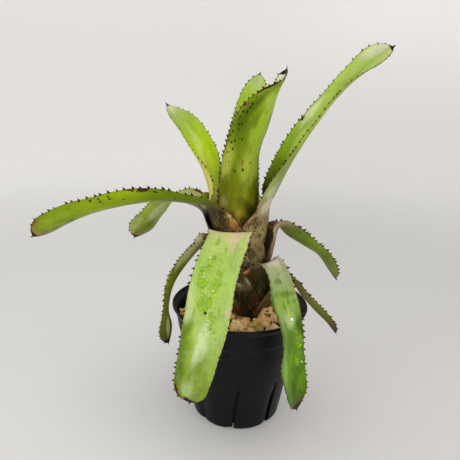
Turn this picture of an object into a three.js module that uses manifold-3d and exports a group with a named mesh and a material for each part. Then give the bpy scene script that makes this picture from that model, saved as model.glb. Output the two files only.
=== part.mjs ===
// A canistrum, a spiny tank bromeliad, growing in a tapered black nursery pot with drainage slits.
// Life size in millimetres. The origin is the middle of the pot's flat underside, +Z is up,
// and the front of the plant faces -Y.

import * as THREE from 'three';
import * as BufferGeometryUtils from 'three/addons/utils/BufferGeometryUtils.js';
import Module from 'manifold-3d';

const wasm = await Module();
wasm.setup();

const DEGREE = Math.PI / 180;
const GAP = 0.35;

// Pot: the wall is a straight taper between the rounded bottom corner and the lip.
const POT = {
  height: 105,
  lipRadius: 60,
  lipHeight: 7,
  lipWall: 1.6,
  floorRadius: 36.5,
  cornerRadius: 40.2,
  cornerHeight: 4,
  underLipRadius: 56.7,
  wall: 1.3,
  floor: 1.8,
  sides: 40,
};
const SLIT = { count: 8, first: 2, width: 2.6, height: 45, inner: 25 };

// Substrate: a fill of pumice, with the top layer of grains standing out of it.
const FILL = { top: 94, levelRadius: 24, dish: 1.5, gap: 0.65, sides: 40 };
const GRAIN = {
  count: 72,
  seed: 11,
  inner: 17,
  outer: 52,
  small: 3.6,
  large: 7.2,
  smallShare: 1.6,
  roundFrom: 4.6,
  rise: 0.15,
  sink: 0.25,
  jitter: 0.16,
  tilt: 0.7,
};
// Room left in the pumice round the sheaths, and round the stem and its roots.
const TUBE_CLEARANCE = 1.2;
const STEM_CLEARANCE = 1.0;
const BIG_CHUNK = { x: 23, y: -17, z: 97, radius: 9.5 };
const ROUND_PEBBLE = { x: -1, y: -30, z: 96, radius: 6.5 };

// Tube: the nested sheaths stand round one line, which leans to the left as it rises.
const TUBE = { footX: 9, footY: -2, footZ: 95, leanX: -0.138, leanY: 0.02 };
// Radius of the innermost sheath, and the step from one sheath to the next, at each level.
const LEVELS = [
  { z: 95, core: 1.6, step: 1.12 },
  { z: 98, core: 3.4, step: 1.17 },
  { z: 101, core: 5.0, step: 1.22 },
  { z: 104, core: 6.2, step: 1.26 },
  { z: 108, core: 7.0, step: 1.3 },
  { z: 118, core: 7.6, step: 1.3 },
  { z: 130, core: 8.4, step: 1.3 },
  { z: 142, core: 10.2, step: 1.3 },
  { z: 156, core: 14.0, step: 1.32 },
  { z: 170, core: 18.0, step: 1.34 },
  { z: 181, core: 20.4, step: 1.35 },
  { z: 192, core: 22.2, step: 1.35 },
];

// Stem: radius at height, from the rounded underside to the growing tip inside the innermost sheath.
const STEM = [
  [7, 80], [11, 85], [12.0, 91], [11.9, 95], [10.7, 98], [10.2, 101], [7.8, 104], [6.1, 108], [3.5, 111],
];
const STEM_BOTTOM = 79;
const STEM_TOP = 112;
const STEM_SIDES = 16;
const ROOT = {
  count: 6,
  sides: 5,
  firstTurn: 0.4,
  thick: 2.1,
  thin: 0.8,
  topRadius: 5,
  topZ: 84,
  footRadius: 31,
  footZ: 34,
  footSpread: 9,
};

// Leaves. The sheath wraps the tube by `hug` degrees either side of the leaf's azimuth at its foot,
// and by `neck` degrees where the blade leaves the tube. Azimuth 0 is the front and grows to the right.
// Each blade station is [reach, side, height, halfWidth, trough, turn]: reach from the pot's axis along
// the azimuth, side to the right of it as seen from outside, height above the table, half the width of
// the blade laid flat, half the angle of its trough, and the turn of the blade about its own line.
const SHEATH_HUG = 100;
// A loose sheath stands off the ones inside it by `loose`, reached between these two levels.
const LOOSE_FROM = 142;
const LOOSE_TO = 156;
const LEAVES = [
  {
    name: 'leaf_left_long', azimuth: -80, nest: 4, foot: 104, mouth: 192, neck: 46, tip: 26, colour: '#7c9a35',
    stations: [
      [40, 2, 194, 15, 43, 13], [67, 0, 196, 16, 61, 17], [94, 2, 194, 16, 68, 26],
      [121, 3, 188, 16, 62, 27], [144, 5, 180, 17, 52, 33], [171, 4, 168, 14, 30, 40],
    ],
  },
  {
    name: 'leaf_left_arched', azimuth: -120, nest: 5.05, foot: 101, mouth: 181, neck: 48, tip: 22, colour: '#8aa562',
    stations: [
      [42, 4, 185, 17, 57, 6], [60, 2, 188, 17, 56, -8], [77, 3, 185, 16, 55, 4],
      [92, 6, 170, 15, 42, 15], [105, 10, 156, 15, 27, 22], [114, 12, 147, 13, 18, 18],
    ],
  },
  {
    name: 'leaf_upper_left', azimuth: -130, nest: 2, foot: 104, mouth: 192, neck: 50, tip: 32, colour: '#9cc04a',
    stations: [
      [33, 10, 210, 17, 66, 24], [42, 10, 230, 17, 58, 2], [55, 12, 249, 16, 42, -3],
      [66, 17, 263, 15, 32, -1], [74, 20, 272, 12, 20, -1],
    ],
  },
  {
    name: 'leaf_centre_upright', azimuth: -5, nest: 1, foot: 108, mouth: 181, neck: 52, tip: 44, colour: '#7f9a2e',
    stations: [
      [20, -3, 202, 17, 52, 4], [18, -3, 227, 17, 48, 0], [15, 1, 250, 16, 50, 1],
      [11, 9, 270, 14, 46, 1], [7, 18, 285, 11, 42, -4], [1, 29, 299, 7, 36, -10],
    ],
  },
  {
    name: 'leaf_front_hanging', azimuth: -15, nest: 6.15, foot: 101, mouth: 170, neck: 48, tip: 26, colour: '#a3bf6c',
    stations: [
      [34, 0, 176, 18, 6, -3], [44, -3, 165, 17, 11, 0], [58, -6, 142, 18, 12, -2],
      [70, -7, 114, 18, 11, 0], [78, -11, 85, 16, 14, 4], [81, -15, 62, 14, 14, 2], [80, -16, 51, 14, 16, -2],
    ],
  },
  {
    name: 'leaf_right_long', azimuth: 75, nest: 3, foot: 104, mouth: 192, neck: 42, tip: 30, colour: '#8cb043',
    stations: [
      [28, -2, 208, 17, 66, 10], [40, 0, 237, 17, 59, 26], [55, 0, 263, 15, 50, 28],
      [70, 1, 284, 15, 48, 24], [84, 1, 300, 14, 38, 34], [95, 0, 310, 13, 31, 42], [106, -1, 318, 11, 23, 49],
    ],
  },
  {
    name: 'leaf_back_upright', azimuth: 172, nest: 0, foot: 108, mouth: 192, neck: 48, tip: 30, colour: '#9ccb50',
    stations: [
      [25, 7, 227, 15, 37, -1], [30, 5, 252, 14, 35, 0], [36, 1, 273, 13, 32, -2],
      [40, -2, 289, 12, 26, -1], [42, -4, 300, 11, 22, 0],
    ],
  },
  {
    name: 'leaf_right_short', azimuth: 100, nest: 7.3, foot: 98, mouth: 170, neck: 44, tip: 22, colour: '#5f8240',
    loose: 5, stations: [
      [33, 0, 173, 14, 50, -14], [43, 1, 165, 14, 53, -27], [57, 1, 156, 13, 48, -21],
      [73, 0, 145, 12, 42, -16], [87, -2, 125, 10, 27, -15],
    ],
  },
  {
    name: 'leaf_right_hanging', azimuth: 40, nest: 9.6, foot: 98, mouth: 142, neck: 46, tip: 24, colour: '#7b9c66',
    stations: [
      [36, -2, 151, 13, 22, 0], [48, -3, 144, 13, 25, -8], [60, -6, 126, 14, 23, 0],
      [71, -8, 105, 14, 26, -8], [74, -7, 79, 14, 23, -2], [75, -3, 56, 12, 25, -4], [75, -1, 38, 11, 19, 0],
    ],
  },
  {
    name: 'leaf_right_low', azimuth: 90, nest: 10.95, foot: 95, mouth: 118, neck: 44, tip: 20, colour: '#5a6a35',
    hug: 84, stations: [
      [43, -5, 128, 12, 45, -10], [54, -4, 115, 11, 46, -16], [67, -4, 101, 11, 48, -22],
      [79, -3, 89, 10, 42, -18], [87, -2, 79, 9, 34, -19],
    ],
  },
  {
    name: 'leaf_left_drooping', azimuth: -70, nest: 8.4, foot: 98, mouth: 156, neck: 40, tip: 22, colour: '#4f6030',
    stations: [
      [35, 5, 162, 14, 50, 16], [51, 8, 147, 14, 57, 24], [63, 13, 132, 13, 56, 16],
      [68, 17, 114, 12, 45, 14], [67, 19, 97, 13, 40, 30], [68, 18, 83, 11, 25, 29],
    ],
  },
];

// Blade section: thickest along the middle. The two half steps of a span between stations are rows of
// the mesh, and the last span has its rows closer together, where the tip rounds off.
const SHEATH_THICK = 0.6;
const BLADE_THICK = 1.3;
const EDGE_THICK = 0.6;
const SHEATH_COLUMNS = 8;
const BLADE_COLUMNS = 4;
const SHEATH_ROWS_ABOVE_MOUTH = 3;
const SPAN_ROWS = [0, 0.5];
const LAST_SPAN_ROWS = [0, 0.4, 0.7, 0.9, 1];
const TIP_NARROWEST = 0.07;
const TIP_SPINE = 4;
const SPINE = { length: 2.0, base: 1.8, lean: 0.5, sheathRows: 2 };
// Rows past the mouth over which the level sections of the sheath turn square to the blade.
const SQUARE_ROWS = 3;
const UPRIGHT = new THREE.Vector3(0, 0, 1);

const lerp = THREE.MathUtils.lerp;
const clamp = THREE.MathUtils.clamp;

/** The geometry with its positions alone, so that equal corners merge into one vertex. */
function weld(geometry) {
  const bare = geometry.clone();
  bare.deleteAttribute('normal');
  bare.deleteAttribute('uv');
  return BufferGeometryUtils.mergeVertices(bare, 1e-4);
}

/** A closed mesh as a solid for joining and cutting. */
function solidOf(geometry) {
  const merged = weld(geometry);
  return new wasm.Manifold(new wasm.Mesh({
    numProp: 3,
    vertProperties: new Float32Array(merged.attributes.position.array),
    triVerts: new Uint32Array(merged.index.array),
  }));
}

/** The solid's surface as a three.js geometry. */
function geometryOf(solid) {
  const mesh = solid.getMesh();
  const geometry = new THREE.BufferGeometry();
  geometry.setAttribute('position', new THREE.BufferAttribute(new Float32Array(mesh.vertProperties), 3));
  geometry.setIndex(new THREE.BufferAttribute(new Uint32Array(mesh.triVerts), 1));
  return geometry;
}

/** A turned shape about +Z from [radius, height] points that start and end on the axis. */
function turned(profile, sides) {
  const points = profile.map(([r, z]) => new THREE.Vector2(r, z));
  const geometry = new THREE.LatheGeometry(points, sides);
  geometry.rotateX(Math.PI / 2);
  return geometry;
}

/** A repeatable random number between 0 and 1. */
function randomFrom(seed) {
  let state = seed;
  return () => {
    state = (state * 1664525 + 1013904223) % 4294967296;
    return state / 4294967296;
  };
}

/** Inner radius of the pot's wall at a height. */
function potInside(z) {
  const rise = (z - POT.cornerHeight) / (POT.height - POT.lipHeight - POT.cornerHeight);
  return lerp(POT.cornerRadius, POT.underLipRadius, rise) - POT.wall;
}

function makePot() {
  const underLip = POT.height - POT.lipHeight;
  const lipInside = POT.lipRadius - POT.lipWall;
  const profile = [
    [0, 0],
    [POT.floorRadius, 0],
    [POT.floorRadius + 2.6, 1.2],
    [POT.cornerRadius, POT.cornerHeight],
    [POT.underLipRadius, underLip],
    [POT.lipRadius - 0.6, underLip + 0.4],
    [POT.lipRadius, underLip + 1.4],
    [POT.lipRadius, POT.height - 0.8],
    [POT.lipRadius - 0.8, POT.height],
    [lipInside, POT.height - 0.3],
    [lipInside - 0.2, underLip + 2.4],
    [potInside(underLip), underLip + 1.0],
    [potInside(POT.cornerHeight), POT.cornerHeight + 0.4],
    [POT.floorRadius, POT.floor],
    [0, POT.floor],
  ];
  let pot = solidOf(turned(profile, POT.sides));
  for (let i = 0; i < SLIT.count; i += 1) {
    const azimuth = (SLIT.first + (360 / SLIT.count) * i) * DEGREE;
    const length = POT.lipRadius - SLIT.inner;
    const cutter = new THREE.BoxGeometry(SLIT.width, length, SLIT.height + 2);
    cutter.translate(0, -SLIT.inner - length / 2, SLIT.height / 2 - 1);
    cutter.rotateZ(azimuth);
    pot = pot.subtract(solidOf(cutter));
  }
  return geometryOf(pot);
}

/** Where the tube's line is at a height. */
function tubeCentre(z) {
  const rise = z - TUBE.footZ;
  return new THREE.Vector3(TUBE.footX + TUBE.leanX * rise, TUBE.footY + TUBE.leanY * rise, z);
}

/** A turned shape whose level circles are centred on the tube's leaning line. */
function turnedOnTube(profile, sides) {
  const geometry = turned(profile, sides);
  const position = geometry.attributes.position;
  for (let i = 0; i < position.count; i += 1) {
    const centre = tubeCentre(position.getZ(i));
    position.setX(i, position.getX(i) + centre.x);
    position.setY(i, position.getY(i) + centre.y);
  }
  return geometry;
}

/** Value of one column of LEVELS at a height. */
function levelValue(key, z) {
  const last = LEVELS.length - 1;
  let i = 0;
  while (i < last - 1 && z > LEVELS[i + 1].z) {
    i += 1;
  }
  const share = (z - LEVELS[i].z) / (LEVELS[i + 1].z - LEVELS[i].z);
  return lerp(LEVELS[i][key], LEVELS[i + 1][key], share);
}

function sheathRadius(leaf, z) {
  const held = levelValue('core', z) + leaf.nest * levelValue('step', z);
  return held + (leaf.loose ?? 0) * clamp((z - LOOSE_FROM) / (LOOSE_TO - LOOSE_FROM), 0, 1);
}

/** One root, a tapered rod from the stem's underside out and down into the fill. */
function rootRod(index, grow) {
  const turn = (index / ROOT.count) * 2 * Math.PI + ROOT.firstTurn;
  const centre = tubeCentre(ROOT.topZ);
  const top = new THREE.Vector3(
    centre.x + ROOT.topRadius * Math.sin(turn), centre.y - ROOT.topRadius * Math.cos(turn), ROOT.topZ);
  const reach = ROOT.footRadius * (0.8 + 0.2 * Math.cos(3 * index));
  const foot = new THREE.Vector3(
    reach * Math.sin(turn), -reach * Math.cos(turn), ROOT.footZ + ROOT.footSpread * Math.sin(2 * index) - grow);
  const along = foot.clone().sub(top);
  const rod = new THREE.CylinderGeometry(ROOT.thick + grow, ROOT.thin + grow, along.length(), ROOT.sides);
  rod.translate(0, -along.length() / 2, 0);
  const down = new THREE.Vector3(0, -1, 0);
  rod.applyQuaternion(new THREE.Quaternion().setFromUnitVectors(down, along.normalize()));
  rod.translate(top.x, top.y, top.z);
  return solidOf(rod);
}

/** The stem with its roots, or the same shape swollen by `grow` for the hole that it stands in. */
function stemSolid(grow) {
  const side = STEM.map(([r, z]) => [r + grow, z]);
  const profile = [[0, STEM_BOTTOM - grow], ...side, [0, STEM_TOP + grow]];
  let solid = solidOf(turnedOnTube(profile, STEM_SIDES));
  for (let i = 0; i < ROOT.count; i += 1) {
    solid = solid.add(rootRod(i, grow));
  }
  return solid;
}

/** One pumice grain: a round of few sides, dented by chance, flattened, tipped and turned. */
function grainSolid(random, radius, centre) {
  const grain = radius > GRAIN.roundFrom
    ? new THREE.IcosahedronGeometry(radius, 0)
    : new THREE.OctahedronGeometry(radius, 0);
  const merged = weld(grain);
  const position = merged.attributes.position;
  for (let i = 0; i < position.count; i += 1) {
    const push = 1 + GRAIN.jitter * (2 * random() - 1);
    position.setXYZ(i, position.getX(i) * push, position.getY(i) * push, position.getZ(i) * push);
  }
  merged.scale(1, 0.75 + 0.25 * random(), 0.65 + 0.3 * random());
  merged.rotateX(GRAIN.tilt * (random() - 0.5));
  merged.rotateZ(2 * Math.PI * random());
  merged.translate(centre.x, centre.y, centre.z);
  return solidOf(merged);
}

/** The pumice: a fill of the pot with its top grains standing out, round the hole that the stem is in. */
function makeSubstrate() {
  const bottom = POT.floor + GAP;
  const fill = solidOf(turned([
    [0, bottom],
    [POT.floorRadius - 1, bottom],
    [potInside(POT.cornerHeight + 2) - FILL.gap, POT.cornerHeight + 2],
    [potInside(FILL.top - FILL.dish) - FILL.gap, FILL.top - FILL.dish],
    [FILL.levelRadius, FILL.top],
    [0, FILL.top],
  ], FILL.sides));
  const random = randomFrom(GRAIN.seed);
  const grains = [
    grainSolid(random, BIG_CHUNK.radius, BIG_CHUNK),
    grainSolid(random, ROUND_PEBBLE.radius, ROUND_PEBBLE),
  ];
  const goldenTurn = Math.PI * (3 - Math.sqrt(5));
  for (let i = 0; i < GRAIN.count; i += 1) {
    const share = (i + 0.5) / GRAIN.count;
    const out = Math.sqrt(lerp(GRAIN.inner ** 2, GRAIN.outer ** 2, share));
    const turn = i * goldenTurn + 0.5 * (random() - 0.5);
    const radius = lerp(GRAIN.small, GRAIN.large, random() ** GRAIN.smallShare);
    const centre = {
      x: out * Math.sin(turn),
      y: -out * Math.cos(turn),
      z: FILL.top - FILL.dish * (out / GRAIN.outer) + radius * (GRAIN.rise - GRAIN.sink * random()),
    };
    grains.push(grainSolid(random, radius, centre));
  }
  const heap = grains.reduce((whole, grain) => whole.add(grain), fill);
  const roomTop = POT.height + 2 * BIG_CHUNK.radius;
  const room = solidOf(turned([
    [0, 0],
    [potInside(0) - FILL.gap, 0],
    [potInside(roomTop) - FILL.gap, roomTop],
    [0, roomTop],
  ], FILL.sides));
  const outermost = LEAVES.reduce((a, b) => (a.nest > b.nest ? a : b));
  const tubeRoom = LEVELS.slice(0, 6).map(({ z }) => [sheathRadius(outermost, z) + TUBE_CLEARANCE, z]);
  const roomFloor = FILL.top - 0.3;
  const roomProfile = [[0, roomFloor], [tubeRoom[0][0], roomFloor], ...tubeRoom, [0, LEVELS[5].z + 1]];
  const clear = solidOf(turnedOnTube(roomProfile, STEM_SIDES));
  const carved = heap.intersect(room).subtract(stemSolid(STEM_CLEARANCE)).subtract(clear);
  const pieces = carved.decompose();
  return geometryOf(pieces.reduce((a, b) => (a.volume() > b.volume() ? a : b)));
}

/** Point and slope of the smooth curve through `rows`, each a list of numbers; the first row leads in. */
function curveRow(rows, u) {
  const last = rows.length - 1;
  const span = Math.min(Math.floor(u) + 1, last - 1);
  const t = u - (span - 1);
  const before = rows[span - 1];
  const from = rows[span];
  const to = rows[span + 1];
  const after = rows[span + 2] ?? to.map((value, i) => 2 * value - from[i]);
  return from.map((value, i) => {
    const a = before[i];
    const b = value;
    const c = to[i];
    const d = after[i];
    return 0.5 * (2 * b + (c - a) * t + (2 * a - 5 * b + 4 * c - d) * t * t + (3 * b - a - 3 * c + d) * t ** 3);
  });
}

/** Rows of a leaf from foot to tip, each [x, y, z, halfWidth, trough, turn, thickness]. */
function leafRows(leaf) {
  const azimuth = leaf.azimuth * DEGREE;
  const out = new THREE.Vector3(Math.sin(azimuth), -Math.cos(azimuth), 0);
  const right = new THREE.Vector3(Math.cos(azimuth), Math.sin(azimuth), 0);

  const sheathRow = (z) => {
    const rise = (z - leaf.foot) / (leaf.mouth - leaf.foot);
    const hug = lerp(leaf.hug ?? SHEATH_HUG, leaf.neck, rise ** 2);
    const radius = sheathRadius(leaf, z);
    const point = tubeCentre(z).addScaledVector(out, radius);
    return [point.x, point.y, point.z, radius * hug * DEGREE, hug, 0, SHEATH_THICK];
  };
  const rows = LEVELS.filter(({ z }) => z >= leaf.foot && z < leaf.mouth).map(({ z }) => sheathRow(z));
  const sheathCount = rows.length;

  const top = sheathRow(leaf.mouth);
  const blade = leaf.stations.map(([reach, side, height, halfWidth, trough, turn]) => {
    const point = out.clone().multiplyScalar(reach).addScaledVector(right, side);
    return [point.x, point.y, height, halfWidth, trough, turn, BLADE_THICK];
  });
  const firstSpan = Math.hypot(blade[0][0] - top[0], blade[0][1] - top[1], blade[0][2] - top[2]);
  const below = sheathRow(leaf.mouth - 2);
  const lead = top.map((value, i) => value - ((value - below[i]) / 2) * firstSpan);
  for (let i = 3; i < lead.length; i += 1) {
    lead[i] = top[i];
  }
  const control = [lead, top, ...blade];
  const spans = control.length - 2;
  for (let span = 0; span < spans; span += 1) {
    const shares = span === spans - 1 ? LAST_SPAN_ROWS : SPAN_ROWS;
    shares.forEach((share) => rows.push(curveRow(control, span + share)));
  }

  let toTip = 0;
  for (let i = rows.length - 1; i >= sheathCount; i -= 1) {
    const near = clamp(1 - toTip / leaf.tip, 0, 1);
    rows[i][3] *= Math.max((1 - near ** 2.2) ** 0.6, TIP_NARROWEST);
    toTip += Math.hypot(rows[i][0] - rows[i - 1][0], rows[i][1] - rows[i - 1][1], rows[i][2] - rows[i - 1][2]);
  }
  return { rows, sheathCount, right };
}

/**
 * Frames of the rows: the way along the leaf, across it and up out of its upper face. Sheath rows are
 * level, so that the nested sheaths keep their distance, and the next rows turn square to the blade.
 */
function leafFrames(rows, right, sheathCount) {
  const at = (i) => new THREE.Vector3(...rows[clamp(i, 0, rows.length - 1)].slice(0, 3));
  return rows.map((row, i) => {
    const square = clamp((i - sheathCount) / SQUARE_ROWS, 0, 1);
    const along = at(i + 1).sub(at(i - 1)).normalize().lerp(UPRIGHT, 1 - square).normalize();
    const flat = right.clone().addScaledVector(along, -right.dot(along)).normalize();
    const rise = along.clone().cross(flat);
    const turn = row[5] * DEGREE;
    const across = flat.clone().multiplyScalar(Math.cos(turn)).addScaledVector(rise, Math.sin(turn));
    const up = rise.clone().multiplyScalar(Math.cos(turn)).addScaledVector(flat, -Math.sin(turn));
    return { centre: at(i), along, across, up };
  });
}

/** A leaf: sheath, blade, marginal spines and hard tip as one closed mesh. */
function makeLeaf(leaf) {
  const { rows, sheathCount, right } = leafRows(leaf);
  const frames = leafFrames(rows, right, sheathCount);
  const points = [];
  const triangles = [];
  const addPoint = (point) => points.push(point) - 1;
  // Corners are named clockwise as seen from outside.
  const addTriangle = (a, b, c) => triangles.push(a, c, b);

  // Two vertices, upper face and under face, at each place of a row.
  const grid = rows.map((row, i) => {
    const columns = i < sheathCount + SHEATH_ROWS_ABOVE_MOUTH ? SHEATH_COLUMNS : BLADE_COLUMNS;
    const { centre, across, up } = frames[i];
    const trough = Math.max(row[4], 1) * DEGREE;
    const radius = row[3] / trough;
    return Array.from({ length: columns + 1 }, (_, j) => {
      const s = (2 * j) / columns - 1;
      const angle = trough * s;
      const place = centre.clone()
        .addScaledVector(across, radius * Math.sin(angle))
        .addScaledVector(up, radius * (1 - Math.cos(angle)));
      const inward = up.clone().multiplyScalar(Math.cos(angle)).addScaledVector(across, -Math.sin(angle));
      const thick = lerp(row[6], Math.min(row[6], EDGE_THICK), s * s);
      return {
        upper: addPoint(place.clone().addScaledVector(inward, thick / 2)),
        under: addPoint(place.clone().addScaledVector(inward, -thick / 2)),
      };
    });
  });

  // A flat patch of the blade is the same set of triangles on both faces, with the under one reversed.
  const addPatch = (a, b, c) => {
    addTriangle(a.upper, b.upper, c.upper);
    addTriangle(a.under, c.under, b.under);
  };
  // The narrow side between the two faces, walked with the blade on the left.
  const addSide = (a, b) => {
    addTriangle(a.upper, a.under, b.under);
    addTriangle(a.upper, b.under, b.upper);
  };

  // One margin cell with a spine in the middle of its edge: `inner` and `outer` run from foot to tip.
  const addSpinyCell = (inner0, inner1, outer0, outer1, outward, along, flip) => {
    const patch = (a, b, c) => (flip ? addPatch(a, c, b) : addPatch(a, b, c));
    const side = (a, b) => (flip ? addSide(b, a) : addSide(a, b));
    const length = points[outer0.upper].distanceTo(points[outer1.upper]);
    const half = Math.min(SPINE.base / 2 / length, 0.3);
    const split = (share) => ({
      upper: addPoint(points[outer0.upper].clone().lerp(points[outer1.upper], share)),
      under: addPoint(points[outer0.under].clone().lerp(points[outer1.under], share)),
    });
    const start = split(0.5 - half);
    const end = split(0.5 + half);
    patch(inner0, outer0, start);
    patch(inner0, start, end);
    patch(inner0, end, inner1);
    patch(inner1, end, outer1);
    side(outer0, start);
    side(end, outer1);
    const root = points[start.upper].clone().add(points[end.under]).multiplyScalar(0.5);
    const peak = addPoint(root.addScaledVector(outward, SPINE.length).addScaledVector(along, SPINE.lean));
    const ring = [start.upper, start.under, end.under, end.upper];
    ring.forEach((vertex, i) => {
      const next = ring[(i + 1) % ring.length];
      if (flip) {
        addTriangle(next, vertex, peak);
      } else {
        addTriangle(vertex, next, peak);
      }
    });
  };

  for (let i = 0; i < grid.length - 1; i += 1) {
    const low = grid[i];
    const high = grid[i + 1];
    const spiny = i >= sheathCount - SPINE.sheathRows && i < grid.length - 2;
    const along = frames[i].along;
    const lastLow = low.length - 1;
    const lastHigh = high.length - 1;
    const outwardLow = points[low[lastLow].upper].clone().sub(points[low[lastLow - 1].upper]).normalize();
    const outwardFirst = points[low[0].upper].clone().sub(points[low[1].upper]).normalize();
    const halved = low.length > high.length;
    for (let j = 0; j < lastHigh; j += 1) {
      const atFirst = j === 0;
      const atLast = j === lastHigh - 1;
      if (halved) {
        addPatch(low[2 * j], low[2 * j + 1], high[j]);
        addPatch(low[2 * j + 1], high[j + 1], high[j]);
        addPatch(low[2 * j + 1], low[2 * j + 2], high[j + 1]);
      } else if (spiny && atLast) {
        addSpinyCell(low[j], high[j], low[lastLow], high[lastHigh], outwardLow, along, false);
      } else if (spiny && atFirst) {
        addSpinyCell(low[1], high[1], low[0], high[0], outwardFirst, along, true);
      } else {
        addPatch(low[j], low[j + 1], high[j + 1]);
        addPatch(low[j], high[j + 1], high[j]);
      }
    }
    if (halved || !spiny) {
      addSide(low[lastLow], high[lastHigh]);
      addSide(high[0], low[0]);
    }
  }

  // The foot is closed flat, and the tip is closed by a short hard spine.
  const foot = grid[0];
  for (let j = 0; j < foot.length - 1; j += 1) {
    addSide(foot[j], foot[j + 1]);
  }
  const tip = grid[grid.length - 1];
  const end = frames[frames.length - 1];
  const peak = addPoint(end.centre.clone().addScaledVector(end.along, TIP_SPINE));
  const loop = [...tip.map((place) => place.upper), ...tip.map((place) => place.under).reverse()];
  loop.forEach((vertex, i) => addTriangle(vertex, loop[(i + 1) % loop.length], peak));

  const geometry = new THREE.BufferGeometry();
  geometry.setAttribute('position', new THREE.Float32BufferAttribute(points.flatMap((p) => p.toArray()), 3));
  geometry.setIndex(triangles);
  return geometry;
}

const plant = new THREE.Group();

function addPiece(name, geometry, colour, roughness) {
  const material = new THREE.MeshStandardMaterial({ color: colour, roughness, metalness: 0 });
  const mesh = new THREE.Mesh(geometry, material);
  mesh.name = name;
  plant.add(mesh);
}

addPiece('pot', makePot(), '#1e1f23', 0.42);
addPiece('pumice_fill', makeSubstrate(), '#b99368', 0.95);
addPiece('stem_with_roots', geometryOf(stemSolid(0)), '#4a3320', 0.8);
LEAVES.forEach((leaf) => addPiece(leaf.name, makeLeaf(leaf), leaf.colour, 0.5));

export default plant;
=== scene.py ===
"""Dresses the potted canistrum: a spiny tank bromeliad in a slitted black nursery pot.

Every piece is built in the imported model's frame, in metres, with the origin in the middle of the
pot's underside, +Z up and the front of the plant facing -Y. Sizes in the classes are millimetres.
"""

import logging
import math
from dataclasses import dataclass, field, replace
from enum import Enum

import bmesh
import bpy
import numpy as np
from mathutils import Matrix, Vector


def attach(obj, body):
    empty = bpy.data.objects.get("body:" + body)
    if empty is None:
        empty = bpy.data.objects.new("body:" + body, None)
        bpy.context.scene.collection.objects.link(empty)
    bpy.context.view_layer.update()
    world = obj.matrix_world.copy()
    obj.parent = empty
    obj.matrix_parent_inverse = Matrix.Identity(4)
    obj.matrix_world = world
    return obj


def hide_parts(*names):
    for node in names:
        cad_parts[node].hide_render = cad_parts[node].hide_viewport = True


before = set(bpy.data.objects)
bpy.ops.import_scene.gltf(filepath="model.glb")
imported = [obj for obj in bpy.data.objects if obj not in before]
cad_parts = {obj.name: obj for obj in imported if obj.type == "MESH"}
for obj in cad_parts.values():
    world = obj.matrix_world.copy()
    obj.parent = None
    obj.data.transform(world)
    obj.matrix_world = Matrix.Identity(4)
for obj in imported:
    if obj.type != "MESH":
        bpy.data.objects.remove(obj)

log = logging.getLogger("canistrum")

MM = 0.001
# Millimetres to one unit of the UV map.
UV_MM = 100.0
# Vertices in a ring of a large turned surface.
TURNED_SIDES = 96
# The angle between neighbours on a sunflower's spiral, in radians.
GOLDEN_ANGLE = math.pi * (3.0 - math.sqrt(5.0))
Array = np.ndarray
Socket = bpy.types.NodeSocket
Stops = tuple[tuple[float, str], ...]


class Side(Enum):
    """The two margins of a blade, by the sign of the way across it."""

    LEFT = -1.0
    RIGHT = 1.0


class Blend(Enum):
    """How a coat of colour lies on what is under it."""

    OVER = "MIX"
    DARKEN = "MULTIPLY"
    GLOW = "SOFT_LIGHT"


def linear(code: str) -> Array:
    """Turns a colour code such as "#7c9a35" into linear red, green and blue.

    Args:
        code: Six hexadecimal digits after a hash sign.

    Returns:
        Three numbers from 0 to 1.
    """
    display = np.array([int(code[i : i + 2], 16) for i in (1, 3, 5)]) / 255.0
    return np.where(display <= 0.04045, display / 12.92, ((display + 0.055) / 1.055) ** 2.4)


def rgba(code: str) -> tuple[float, float, float, float]:
    """The colour code as a socket value."""
    return (*linear(code).tolist(), 1.0)


def ease(low: float, high: float, value: Array) -> Array:
    """A smooth step: 0 below low, 1 above high, and 3t^2 - 2t^3 between them."""
    t = np.clip((value - low) / (high - low), 0.0, 1.0)
    return t * t * (3.0 - 2.0 * t)


def unit(vectors: Array) -> Array:
    """The vectors scaled to length 1."""
    return vectors / np.linalg.norm(vectors, axis=-1, keepdims=True)


def colours_at(stops: Stops, place: Array) -> Array:
    """Colours along a line of colour stops, blended evenly between neighbours.

    Args:
        stops: Pairs of place and colour code, in rising order of place.
        place: Where the colours are wanted.

    Returns:
        Linear colours, one row per place.
    """
    places = [stop[0] for stop in stops]
    shades = np.array([linear(stop[1]) for stop in stops])
    return np.stack([np.interp(place, places, shades[:, i]) for i in range(3)], axis=-1)


def curve_through(points: Array, u: Array) -> Array:
    """The smooth curve through points, where the first point only leads in.

    Each span is the uniform Catmull-Rom cubic of its four nearest points, and past the last
    point the line goes on straight.

    Args:
        points: Rows of numbers.
        u: Parameters, 0 at the second point and 1 more at each next one.

    Returns:
        One row of numbers per parameter.
    """
    padded = np.vstack([points, 2.0 * points[-1] - points[-2]])
    span = np.minimum(np.floor(u).astype(int) + 1, len(points) - 2)
    t = (u - (span - 1))[:, None]
    a, b, c, d = (padded[span + k] for k in (-1, 0, 1, 2))
    bend = 2.0 * a - 5.0 * b + 4.0 * c - d
    twist = 3.0 * b - a - 3.0 * c + d
    return 0.5 * (2.0 * b + (c - a) * t + bend * t**2 + twist * t**3)


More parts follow.
